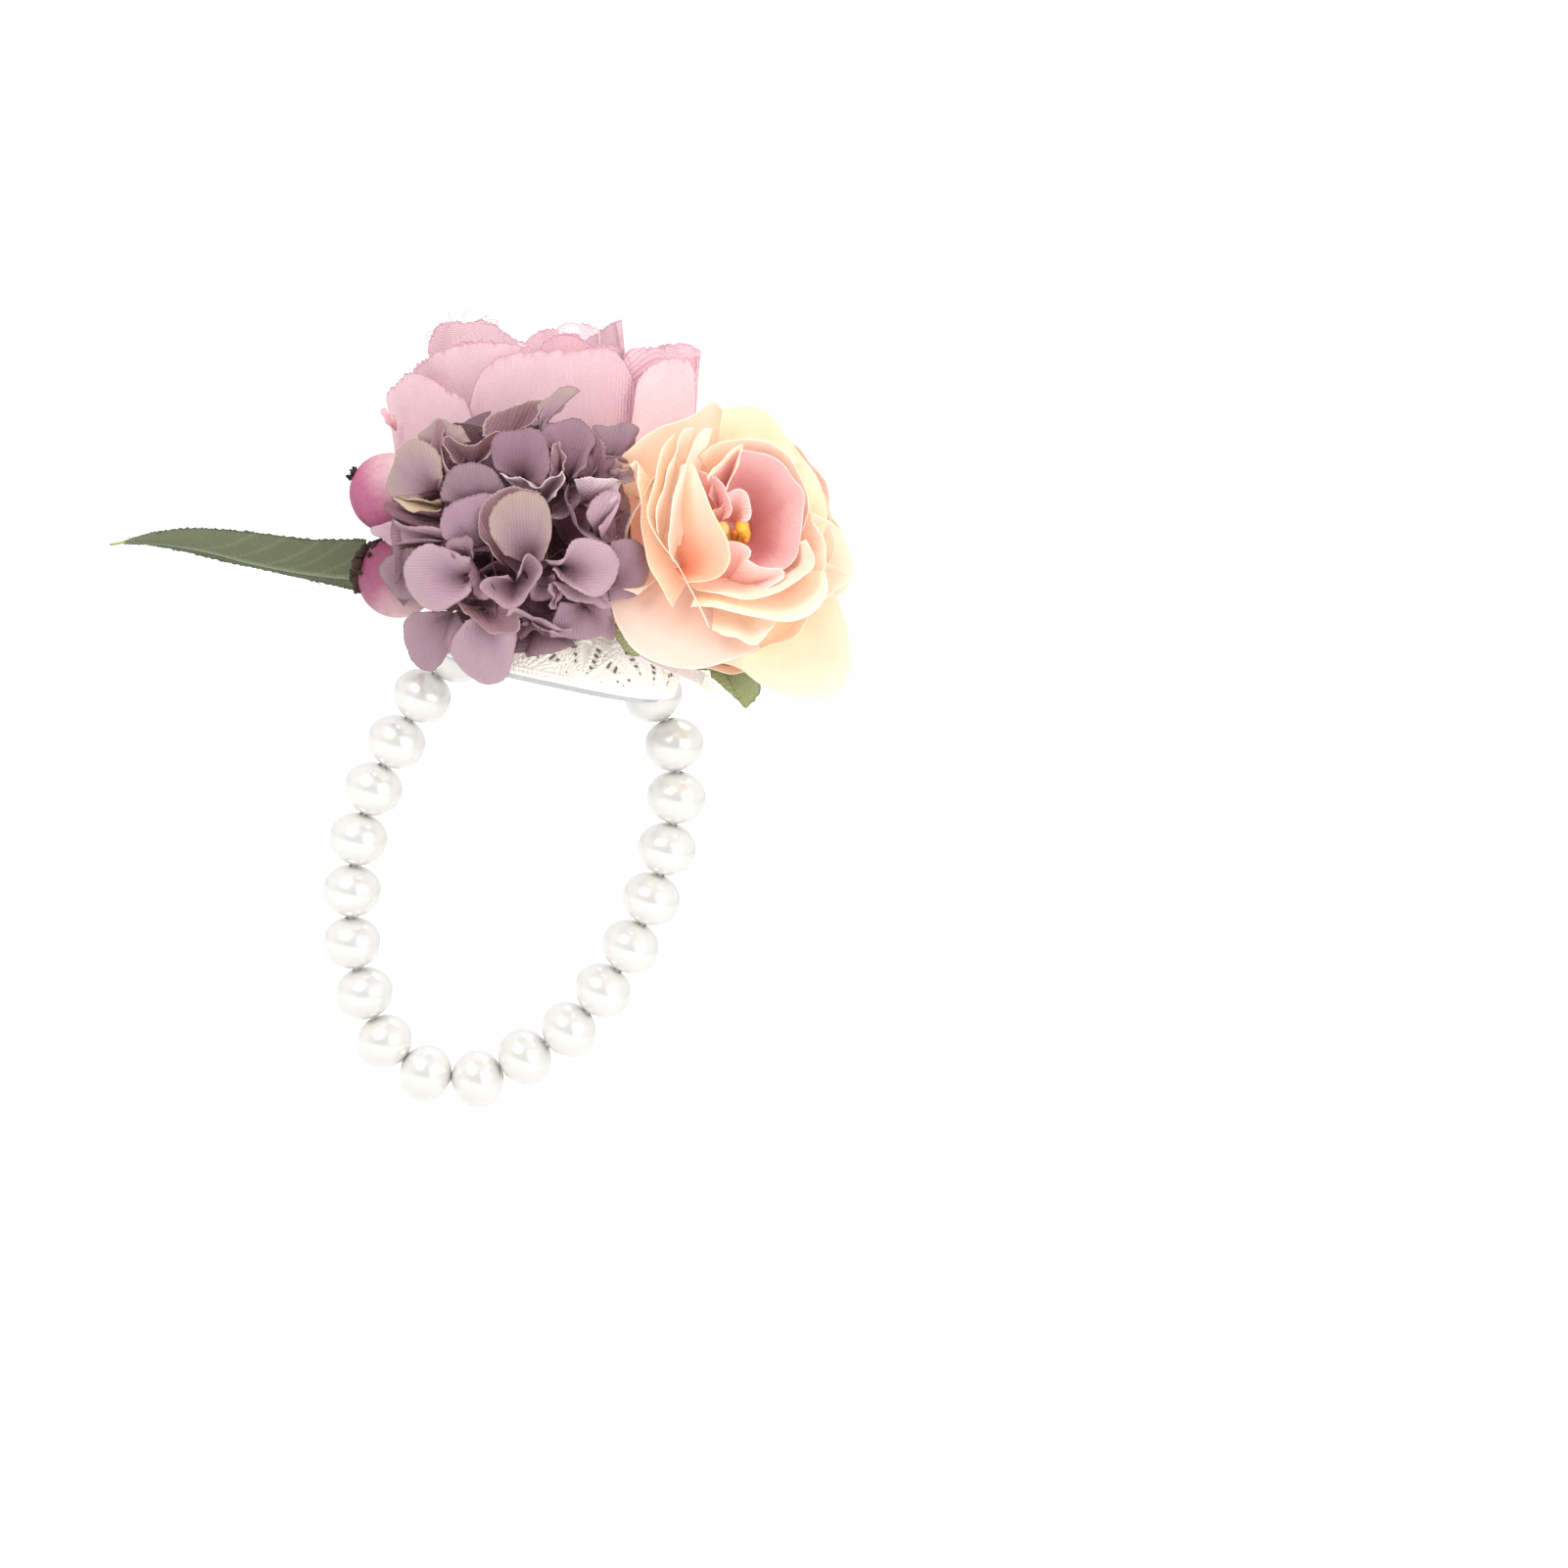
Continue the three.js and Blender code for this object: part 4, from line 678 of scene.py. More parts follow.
# Rose: layer, tint, depths of the root and of the rim at its start, middle and end, bulge, roll,
# root pixel, rim pixels.
ROSE_PETALS = [
    ("outer", "cream", 4, (13, 14, 10), 0.8, -0.6, (728, 526), [(618, 499), (629, 470), (642, 455),
     (673, 434), (705, 422), (728, 407), (736, 413), (735, 427), (728, 448)]),
    ("outer", "lemon", 4, (12, 10, 10), 0.3, 0.4, (753, 530), [(680, 463), (700, 438), (728, 423),
     (757, 416), (778, 418), (793, 432), (802, 450), (813, 472)]),
    ("outer", "lemon", 4, (9, 8.5, 9), 0.3, 0.3, (762, 537), [(778, 425), (800, 445), (823, 474),
     (838, 499), (844, 526), (838, 552)]),
    ("outer", "peach", 4, (9, 9, 10), 0.6, 0.3, (770, 552), [(830, 526), (848, 534), (865, 556),
     (871, 581), (863, 602), (837, 615)]),
    ("outer", "lemon", 4, (15, 14, 10), 0.8, 0.6, (762, 568), [(724, 672), (757, 681), (778, 697),
     (800, 707), (825, 712), (852, 710), (867, 690), (866, 657), (854, 615), (846, 596)]),
    ("second", "blush", 5, (15, 18, 18), 1.4, 0.5, (728, 568), [(614, 590), (625, 617), (632, 638),
     (650, 663), (684, 678), (715, 681), (757, 666), (775, 659)]),
    ("second", "peach", 5, (13, 16, 17), 0.2, 0.2, (728, 547), [(614, 488), (606, 526), (612, 560),
     (623, 590), (652, 606)]),
    ("third", "shell", 6, (19, 20.5, 19), 0.6, 0.2, (745, 568), [(727, 641), (738, 646), (750, 650),
     (770, 656), (786, 642), (797, 625)]),
    ("second", "peach", 6, (11, 12, 13), 0.4, 0.2, (770, 560), [(833, 568), (852, 581), (868, 589),
     (852, 603), (837, 613)]),
    ("third", "cream", 6, (18, 17.5, 18), 0.3, 0.2, (728, 552), [(642, 474), (650, 470), (653, 495),
     (656, 522), (660, 564), (671, 590), (688, 619)]),
    ("third", "cream", 7, (19, 21.5, 19), 0.3, 0.9, (762, 560), [(705, 613), (736, 614), (768, 623),
     (791, 627), (814, 626), (831, 617), (838, 602), (836, 583)]),
    ("third", "peach", 7, (15, 16, 17), 0.3, 0.3, (774, 547), [(820, 493), (824, 518), (831, 537),
     (842, 562), (839, 581), (827, 599)]),
    ("inner", "cream", 9, (17, 19.5, 22.5), 0.3, 0.2, (702, 572), [(690, 444), (680, 455), (671, 484),
     (663, 522), (673, 547), (694, 579), (712, 610), (725, 640)]),
    ("inner", "shell", 14, (17, 19, 19.5), 0.3, 0.2, (677, 557), [(709, 438), (700, 440), (689, 467),
     (675, 510), (671, 528), (673, 543)]),
    ("inner", "shell", 15, (18, 20, 20.5), 0.3, 0.2, (690, 575), [(728, 439), (720, 440), (708, 457),
     (694, 495), (686, 526), (684, 547), (685, 563)]),
    ("inner", "cream", 8, (17, 17, 16.5), 0.3, 0.3, (770, 545), [(715, 467), (734, 454), (762, 450),
     (789, 456), (809, 474), (819, 495), (823, 520), (818, 541)]),
    ("inner", "cream", 8, (17, 21, 19), 0.3, 0.4, (762, 560), [(702, 591), (714, 600), (740, 604),
     (768, 608), (795, 602), (815, 588), (829, 574), (820, 552)]),
    ("inner", "cream", 12, (19, 18.5, 18.5), 0.3, 0.1, (742, 505), [(722, 488), (734, 474), (758, 454),
     (752, 474), (741, 500)]),
    # cream to orange paints shade over this petal, deeper towards the lower end of its rim, where the
    # petal turns down.
    ("inner", "cream to orange", 13, (18.6, 21, 20), 1.0, 0.5, (688, 578), [(694, 478), (704, 476),
     (711, 492), (720, 512), (731, 534), (740, 556), (741, 574), (731, 587), (700, 592)]),
    ("heart", "salmon", 9, (17, 18, 17), -0.6, 0.6, (757, 545), [(728, 508), (738, 480), (752, 464),
     (774, 466), (793, 475), (807, 493), (817, 504), (816, 526), (813, 547), (808, 568), (795, 579),
     (778, 584), (764, 573)]),
    ("heart", "salmon", 11, (14.5, 18.5, 18), 0.8, 0.5, (736, 535), [(706, 503), (704, 480), (711, 482),
     (728, 491), (737, 500), (743, 518), (740, 528)]),
    ("heart", "rosy", 12, (16, 18, 17), -0.5, 0.6, (749, 535), [(728, 526), (743, 518), (745, 507),
     (755, 505), (762, 512), (762, 525), (758, 531)]),
    ("heart", "rosy", 13, (14, 18.5, 18.5), 1.2, 0.5, (738, 606), [(700, 597), (717, 576), (738, 556),
     (753, 557), (762, 563), (759, 571), (770, 579), (785, 584), (798, 586), (778, 600)]),
]

# Unseen petals of the pink flower and the rose: layer, tint, middle angle and half width in
# degrees, and size as a share of the CAD layer. The angle runs round the flower's axis from its
# own +X.
PINK_UNSEEN = [
    ("outer", "pink", 35, 40, 0.98), ("outer", "blush_pink", 95, 40, 1),
    ("outer", "pink", 155, 40, 0.98), ("outer", "pink", 205, 30, 0.94),
    ("second", "pink", 16, 46, 0.95), ("second", "blush_pink", 88, 48, 1),
    ("second", "pink", 160, 46, 0.97), ("second", "pink", 304, 46, 0.9),
    ("third", "deep_pink", 0, 44, 0.84), ("third", "pink", 72, 44, 0.97),
    ("third", "deep_pink", 144, 44, 0.97), ("third", "pink", 216, 44, 0.95),
    ("third", "deep_pink", 288, 44, 0.93),
    ("inner", "pink", 30, 54, 1), ("inner", "painted_highlight_pink", 120, 54, 1), ("inner", "pink", 210, 54, 0.97),
    ("inner", "deep_pink", 300, 54, 0.97),
]
ROSE_UNSEEN = [
    ("outer", "lemon", 2, 40, 0.9), ("outer", "blush", 62, 40, 0.9), ("outer", "peach", 122, 40, 0.92),
    ("outer", "blush", 182, 40, 0.92), ("outer", "peach", 302, 40, 0.85),
    ("second", "peach", 36, 46, 0.92), ("second", "peach", 108, 46, 0.94),
    ("second", "peach", 180, 46, 0.94), ("second", "peach", 324, 46, 0.9),
    ("third", "peach", 70, 50, 0.94), ("third", "peach", 160, 50, 0.94),
    ("third", "peach", 0, 54, 0.86),
]

PINK_UNSEEN_HEIGHT = 0.98
ROSE_UNSEEN_HEIGHT = 0.92
BUD_PETALS = 5
BUD_LAYER = (5.4, 2.4, 21, 6.5)
BUD_SHRINK = 0.35
BUD_TURN = 0.38
BUD_HALF_DEGREES = 75
BUD_TINTS = ("deep_pink", "pink", "painted_highlight_pink")
ROSE_MIDDLE_Y = 0.6
ROSE_CUPS = {"outer": 1.15, "second": 1.4, "third": 1.5, "inner": 1.55, "heart": 1.6}

# Loose threads of cut cloth.
THREAD_ROOT = 0.3
THREAD_STRAY = 0.7
THREAD_SHARES = (0.12, 0.3)
THREAD_RADIUS = 0.035


def add_thread(part, start, way, stray, steps, radius, colour):
    """A thread of cut cloth that leaves along a way and strays from it. steps are the least and
    most length of each of its parts, in millimetres."""
    points = [start - way * THREAD_ROOT * MM]
    for _ in range(4):
        bend = Vector([chance.uniform(-1, 1) for _ in range(3)])
        way = (way + stray * bend).normalized()
        points.append(points[-1] + way * chance.uniform(*steps) * MM)
    part.add_tube(smooth_curve(points, 4), radius * MM, shown(colour), sides=4)


def loose_threads(part, line, count, longest, colour):
    """Fine threads that hang out of a cut edge."""
    for _ in range(count):
        k = chance.randrange(2, len(line) - 2)
        way = (Vector(line[k]) - Vector(line.mean(axis=0))).normalized()
        steps = [share * longest for share in THREAD_SHARES]
        add_thread(part, Vector(line[k]), way, THREAD_STRAY, steps, THREAD_RADIUS, colour)


def sized(layer, across, high):
    radius, rim, height, lift = layer
    return radius * across, rim * across, height * high, lift


def add_unseen(bloom, parts, layers, petals, high, **finish):
    for layer, tint, angle, half, size in petals:
        shape = sized(layers[layer], size, size * high)
        bloom.petal(parts[layer], shape, math.radians(angle), math.radians(half), tint, **finish)


def build_pink_flower(cloth):
    parts = {name: Piece() for name in PINK_LAYERS}
    for layer, size, tint, side, roll, pixels in PINK_PETALS:
        shape = sized(PINK_LAYERS[layer], size, 1)
        PINK.traced_petal(parts[layer], shape, side, pixels, tint, roll=-roll,
                          ruffle=0.35, fray=0.3)
    add_unseen(PINK, parts, PINK_LAYERS, PINK_UNSEEN, PINK_UNSEEN_HEIGHT,
               columns=80, ruffle=0.5, fray=0.25, roll=-0.8)
    rim = traced(CORAL_PIXELS, 0, CORAL_DEPTHS)
    lofted_petal(parts["outer"], at_pixel(CORAL_ROOT, -CORAL_DEPTHS[0] * MM), rim, "coral", -look,
                 bulge=0.8, columns=40, fray=0.05)
    for pixels in THREADED_RIMS:
        line = smooth_curve(traced(pixels, 0, THREAD_DEPTHS))
        loose_threads(parts["second"], line, 16, 2.6, "pink thread")
    for name, part in parts.items():
        node = f"pink_petals_{name}"
        on_head(part.build(f"{node}_cloth", cloth, "pink_cloth"), node)
    bud = Piece()
    for k in range(BUD_PETALS):
        shape = (BUD_LAYER[0] - BUD_SHRINK * k, *BUD_LAYER[1:])
        PINK.petal(bud, shape, TURN * BUD_TURN * k, math.radians(BUD_HALF_DEGREES),
                   BUD_TINTS[k % len(BUD_TINTS)], columns=30, rows=9)
    on_head(bud.build("pink_bud_cloth", cloth, "pink_cloth"), "pink_bud")


def build_rose(cloth, heart_cloth):
    parts = {name: Piece() for name in ROSE_LAYERS}
    for layer, tint, root, rim, bulge, roll, base, pixels in ROSE_PETALS:
        points = traced(pixels, ROSE_MIDDLE_Y, rim)
        start = at_pixel(base, (ROSE_MIDDLE_Y - root) * MM)
        lofted_petal(parts[layer], start, points, tint, ROSE.axis, bulge=bulge, roll=roll,
                     cup=ROSE_CUPS[layer], columns=72, ruffle=0.15, fray=0.05, crease=0.08)
    add_unseen(ROSE, parts, ROSE_LAYERS, ROSE_UNSEEN, ROSE_UNSEEN_HEIGHT, ruffle=0.3, fray=0.05)
    for name, part in parts.items():
        heart = name == "heart"
        node = "rose_heart_petals" if heart else f"rose_petals_{name}"
        piece = part.build(f"{node}_cloth", heart_cloth if heart else cloth,
                           "heart_cloth" if heart else "peach_cloth")
        on_head(piece, node)


# Hydrangea: the front petals are traced, and whole florets fill the rest of the ball.
BALL_PIXEL = (523, 548)
BALL_HALF_PIXELS = (142, 152)
BALL_DEPTH = 14
BALL_LEAST = 0.28
ROOT_DEPTH_SHARE = 0.72
FLORET_COUNT = 11
FILL_COUNT = 30
FILL_RADII = (18, 15, 18)
FILL_BACK = 0.35
FILL_LOW = -0.6
FILL_SHARE = 0.72
FRONT_SINK = 0.2
LOW_SINK = 0.12
ROSE_SINK = 0.2
FILL_REACH = 8.6
FRONT_LESS = 1.5
ROSE_LESS = 2.6
FILL_TINTS = ("mauve", "grey", "mauve", "pale", "arched")
SPARE_SEAT = 12.5
SPARE_REACH = 7


def ball_front(pixel):
    """How far in front of the ball's middle its surface is at a pixel, in millimetres."""
    x = (pixel[0] - BALL_PIXEL[0]) / BALL_HALF_PIXELS[0]
    z = (pixel[1] - BALL_PIXEL[1]) / BALL_HALF_PIXELS[1]
    return BALL_DEPTH * max(BALL_LEAST, math.sqrt(max(0, 1 - x * x - z * z)))


def pressed_back(grid):
    """Floret cloth kept behind the planes where the cluster meets the rose and the pink flower."""
    for point, facing in HYDRANGEA_PLANES:
        normal = np.array(Vector(facing).normalized())
        beyond = np.maximum((grid - np.array(point) * MM) @ normal, 0)
        grid = grid - beyond[..., None] * normal * PRESSED
    return grid


HYDRANGEA_PLANES = [((7, -10, 22), (0.97, 0.05, 0.22)), ((-6, -7.2, 24), (0, 1, 0.05))]
PRESSED = 0.9
FLORET_WANDER = 0.12
FLORET_SIZES = (0.9, 1.08)
FLORET_TILTS = (0.15, 0.5)
FLORET_ROOT = 1.2
FLORET_PETAL = [(0.22, -0.4), (0.5, -0.56), (0.84, -0.45), (1.02, 0), (0.84, 0.45), (0.5, 0.56),
                (0.22, 0.4)]


def fill_directions():
    """Directions spread evenly over a ball."""
    golden = math.pi * (3 - math.sqrt(5))
    for k in range(FILL_COUNT):
        z = 1 - 2 * (k + 0.5) / FILL_COUNT
        flat = math.sqrt(1 - z * z)
        yield Vector((flat * math.cos(golden * k), flat * math.sin(golden * k), z))


def add_floret(part, middle, way, reach, tint):
    """Four cupped petals round a direction."""
    side = way.orthogonal().normalized()
    side.rotate(Matrix.Rotation(chance.uniform(0, TURN / 4), 3, way))
    for k in range(4):
        angle = TURN * k / 4 + chance.uniform(-FLORET_WANDER, FLORET_WANDER)
        along = side.copy()
        along.rotate(Matrix.Rotation(angle, 3, way))
        across = way.cross(along)
        size = reach * chance.uniform(*FLORET_SIZES)
        tilt = chance.uniform(*FLORET_TILTS)
        rim = []
        for forward, sideways in FLORET_PETAL:
            rise = size * (tilt * forward + 0.5 * sideways**2)
            rim.append(middle + (along * forward * size + across * sideways * size + way * rise) * MM)
        start = middle - way * FLORET_ROOT * MM
        lofted_petal(part, start, rim, tint, way, bulge=-0.8, columns=36, rows=10, ruffle=0.35)


def build_hydrangea(cloth):
    nodes = [f"hydrangea_floret_{k + 1:02d}" for k in range(FLORET_COUNT)]
    middles = [sum(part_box(node), Vector()) / 2 for node in nodes]
    parts = [Piece() for _ in nodes]

    def nearest(place):
        return parts[min(range(FLORET_COUNT), key=lambda k: (middles[k] - place).length)]

    for tint, lift, bulge, base, pixels in HYDRANGEA_PETALS:
        start = at_pixel(base, HYDRANGEA_MIDDLE.y - ball_front(base) * ROOT_DEPTH_SHARE * MM)
        rim = [at_pixel(p, HYDRANGEA_MIDDLE.y - (ball_front(p) + lift) * MM) for p in pixels]
        toward = own_facing(start, rim)
        part = nearest(sum(rim, Vector()) / len(rim))
        lofted_petal(part, start, rim, tint, toward, bulge=bulge, columns=90, ruffle=0.42,
                     fray=0.14, crease=0.2)
    for k, way in enumerate(fill_directions()):
        if way.y > FILL_BACK or way.z < FILL_LOW:
            continue
        front = max(0, -way.y) ** 2
        share = FILL_SHARE - FRONT_SINK * front - (LOW_SINK if way.z < -0.2 and front > 0 else 0)
        share -= ROSE_SINK if way.x > 0.6 and way.z < -0.3 else 0
        middle = HYDRANGEA_MIDDLE + Vector(way[a] * FILL_RADII[a] * share for a in range(3)) * MM
        floret = Piece()
        # Florets deep in the ball's front get painted shade, a dark mass for the gaps between the front
        # petals.
        tint = "painted_shade_mauve" if front > 0.35 else FILL_TINTS[k % len(FILL_TINTS)]
        reach = FILL_REACH - FRONT_LESS * front - (ROSE_LESS if way.x > 0.6 and way.z < 0.2 else 0)
        add_floret(floret, middle, way, reach, tint)
        floret.points = [tuple(p) for p in pressed_back(np.array(floret.points))]
        part = nearest(middle)
        part.add(floret.points, floret.faces, floret.paint, floret.cloth)
    for node, middle, part in zip(nodes, middles, parts):
        if not part.points:
            way = (middle - HYDRANGEA_MIDDLE).normalized()
            add_floret(part, HYDRANGEA_MIDDLE + way * SPARE_SEAT * MM, way, SPARE_REACH, "mauve")
        on_head(part.build(f"{node}_cloth", cloth, "mauve_cloth"), node)


# The plate's lace, pad and ribbon lie on one domed oval.
OVAL = {"length": 34, "width": 25, "height": 7.6, "floor": 1.1, "bluntness": 3.4, "power": 3.6}
END_PEARL_X = 14.19
END_PEARL_AXIS = -0.1
END_ROOM = 4.75
END_SWING = 1.6
PAD_OVER_PEARLS = -0.35
RING_POWER = 0.8
LACE_GROW = -0.1
LACE_WALL = 0.3
PAD_GROW = -1.1
PAD_WALL = 0.2


def oval_radius(angle, grow=0.0):
    n = OVAL["bluntness"]
    across = abs(2 * math.cos(angle) / (OVAL["length"] + 2 * grow)) ** n
    along = abs(2 * math.sin(angle) / (OVAL["width"] + 2 * grow)) ** n
    return (across + along) ** (-1 / n)


def pearl_room(x, y, room):
    """Square of how far the room round an end pearl rises above the pearl's axis."""
    return room**2 - (abs(x) - END_PEARL_X) ** 2 - max(abs(y) - END_SWING, 0) ** 2


def dome_height(x, y, grow=0.0):
    """Height of the lace over the pad, and over the end pearls that nest under its ends."""
    share = min(math.hypot(x, y) / oval_radius(math.atan2(y, x), grow), 1)
    height = OVAL["floor"] + (OVAL["height"] + grow) * (1 - share ** OVAL["power"])
    left = pearl_room(x, y, END_ROOM + max(grow, PAD_OVER_PEARLS))
    return max(height, END_PEARL_AXIS + math.sqrt(left)) if left > 0 else height


def dome_place(angle, share, grow=0.0):
    radius = share * oval_radius(angle, grow)
    x, y = radius * math.cos(angle), radius * math.sin(angle)
    return Vector((x, y, dome_height(x, y, grow))) * MM


def dome_sheet(part, grow, thickness, colour, around=120, rows=26, floor=False):
    """The dome as a closed thin sheet, or as a solid with a flat floor."""
    shares = [math.sin(math.pi / 2 * j / rows) ** RING_POWER for j in range(1, rows + 1)]
    rings = [[dome_place(TURN * i / around, share, grow) for i in range(around)] for share in shares]
    top, drop = dome_place(0, 0, grow), Vector((0, 0, thickness * MM))
    if floor:
        under = [[Vector((p.x, p.y, min(under_dome(p), p.z - drop.z))) for p in ring]
                 for ring in rings]
        bottom = Vector((0, 0, OVAL["floor"] * MM))
    else:
        under = [[p - drop for p in ring] for ring in rings]
        bottom = top - drop
    points = [top, *sum(rings, []), *sum(reversed(under), []), bottom]
    last = 1 + (2 * rows - 1) * around
    faces = []
    for i in range(around):
        k = (i + 1) % around
        faces += [(0, 1 + i, 1 + k), (len(points) - 1, last + k, last + i)]
        for a in range(1, last, around):
            b = a + around
            faces.append((a + i, b + i, b + k, a + k))
    part.add(points, faces, [shown(colour)] * len(points))


def under_dome(place):
    """Underside of the pad, raised where the end pearls nest."""
    x, y = place.x / MM, place.y / MM
    return max(OVAL["floor"], END_PEARL_AXIS + math.sqrt(max(pearl_room(x, y, END_ROOM), 0))) * MM


# Crochet: fans that stand on the hem, smaller ones between them, and rings. Lengths are in
# millimetres, and turns in radians from a fan's middle.
FAN_COUNT = 10
FAN_FIRST = 0.62
FAN_FOOT = 0.3
FAN_REACH = (0.8, 7)
FAN_RADII = (2.0, 3.1, 4.2, 5.3, 6.4)
FAN_ARCS = (7.2, 8.0)
FAN_ROWS = 6
FAN_SPREAD = 1.15
SLIT_RADIUS = 0.2
SLIT_SINK = -0.02
SLIT_HALF = 0.36
SLIT_WANDER = 0.1
SMALL_ARCS = (1.2, 2.2)
SMALL_SPREAD = 1.5
SMALL_TURNS = (-1.1, -0.6, 0, 0.6, 1.1)
SMALL_SLIT = (1.5, 1.95)
SMALL_SLIT_RADIUS = 0.19
TOP_RINGS = (0.12, 0.24, 0.36, 0.48, 0.58)
RING_STEPS = 120
RING_WANDER = 0.01
HEM_DROPS = (0.15, 0.75)
HEM_STEPS = 160
TWIST_STEP = 0.22
TWIST_ANGLE = 1.1
TWIST_SHARE = 0.6
CORD_LIFT = 0.1
HEM_LIFT = 0.12
FAN_CORDS = (0.24, 0.3)
SMALL_CORD = 0.24
ARC_CORD = 0.26
HEM_CORD = 0.28


def hem_place(angle, up, grow):
    """The place on the lace so many millimetres up from its hem."""
    shares = np.linspace(1, 0.1, 46)
    line = np.array([dome_place(angle, share, grow) for share in shares])
    share = float(np.interp(up * MM, lengths_along(line), shares))
    return dome_place(angle, share, grow)


def fan_place(middle, turn, reach, grow):
    """The place at a turn and a reach from a fan's foot on the hem."""
    sideways = reach * math.sin(turn)
    up_from_hem = FAN_FOOT + reach * math.cos(turn)
    return hem_place(middle + sideways / oval_radius(middle), up_from_hem, grow)


def twisted_cord(part, places, thickness):
    """Two strands of white cotton wound round a line."""
    places = np.array(places)
    line = places_along(places, np.arange(0, lengths_along(places)[-1], TWIST_STEP * MM))
    ahead = unit(np.gradient(line, axis=0))
    side = unit(np.cross(ahead, [0, 0, 1.0]))
    other = np.cross(ahead, side)
    turns = np.arange(len(line))[:, None] * TWIST_ANGLE
    for strand in (0, math.pi):
        wound = side * np.cos(turns + strand) + other * np.sin(turns + strand)
        part.add_tube(line + wound * thickness * TWIST_SHARE * MM, thickness * MM,
                      shown("lace"), sides=5)


def lace_arc(part, middle, spread, count, reach, thickness):
    """A cord round a fan's foot."""
    turns = np.linspace(-spread, spread, count)
    twisted_cord(part, [fan_place(middle, turn, reach, CORD_LIFT) for turn in turns], thickness)


def lace_fan(part, middle):
    """Rows of slits, grey tubes of painted shade in the crochet's holes, between cords that spread out
    from a foot on the hem.
    """
    for row in range(FAN_ROWS + 1):
        turn = FAN_SPREAD * (2 * row / FAN_ROWS - 1)
        line = [fan_place(middle, turn, reach, CORD_LIFT) for reach in np.linspace(*FAN_REACH, 12)]
        twisted_cord(part, line, chance.uniform(*FAN_CORDS))
        if row == FAN_ROWS or row % 2:
            continue
        between = turn + FAN_SPREAD / FAN_ROWS
        half = SLIT_HALF * FAN_SPREAD / FAN_ROWS + 0.05
        for reach in FAN_RADII:
            far = reach + chance.uniform(-SLIT_WANDER, SLIT_WANDER)
            ends = [fan_place(middle, between - half, reach, SLIT_SINK),
                    fan_place(middle, between + half, far, SLIT_SINK)]
            # A slit is a grey tube half sunk in the ground: painted shade of a hole in the crochet.
            part.add_tube(ends, SLIT_RADIUS * MM, shown("slit shade"))
    for reach in FAN_ARCS:
        lace_arc(part, middle, FAN_SPREAD, 24, reach, ARC_CORD)


def build_lace(threads_look, cloth_look):
    """A close white ground, and crochet on it: fans with slits of painted shade, arcs between them and
    a hem.
    """
    base = Piece()
    dome_sheet(base, LACE_GROW, LACE_WALL, "lace")
    cloth = on_head(base.build("lace_ground", cloth_look, "lace"), "lace_cover")
    part = Piece()
    for fan in range(FAN_COUNT):
        middle = FAN_FIRST + TURN * fan / FAN_COUNT
        lace_fan(part, middle)
        beside = middle + TURN / FAN_COUNT / 2
        for reach in SMALL_ARCS:
            lace_arc(part, beside, SMALL_SPREAD, 14, reach, SMALL_CORD)
        for turn in SMALL_TURNS:
            ends = [fan_place(beside, turn, reach, 0.0) for reach in SMALL_SLIT]
            # Small slits: grey tubes of painted shade for holes between the fans.
            part.add_tube(ends, SMALL_SLIT_RADIUS * MM, shown("slit shade"))
    for share in TOP_RINGS:
        shares = [share + RING_WANDER * math.sin(i) for i in range(RING_STEPS + 1)]
        line = [dome_place(TURN * i / RING_STEPS, s, CORD_LIFT) for i, s in enumerate(shares)]
        twisted_cord(part, line, ARC_CORD)
    for drop in HEM_DROPS:
        angles = [TURN * i / HEM_STEPS for i in range(HEM_STEPS + 1)]
        twisted_cord(part, [hem_place(angle, drop, HEM_LIFT) for angle in angles], HEM_CORD)
    lace = on_head(part.build("lace_threads", threads_look, "lace"), "lace_cover")


def build_pad(foam):
    part = Piece()
    dome_sheet(part, PAD_GROW, PAD_WALL, "foam", rows=18, around=80, floor=True)
    pad = on_head(part.build("pad_foam", foam, "foam"), "foam_pad")


# Ribbon: its middle line, and sizes in millimetres.
RIBBON_LINE = [(8.6, -8.9, 8.3), (10.6, -8.8, 7.3), (13, -8.6, 6.3), (16, -8.3, 5.5),
               (18.6, -8.0, 4.9), (20.6, -7.7, 4.3)]
RIBBON_HALF = 2.4
RIBBON_ROWS = 9
RIBBON_CUP = 0.25
RIBBON_TILT = 0.5
RIBBON_THICKNESS = 0.14
RIBBON_THREADS = 26
RIBBON_THREAD_STEPS = (0.3, 1.1)
RIBBON_THREAD_STRAY = 0.5
RIBBON_THREAD_RADIUS = 0.045
ON_LACE_TO = 16


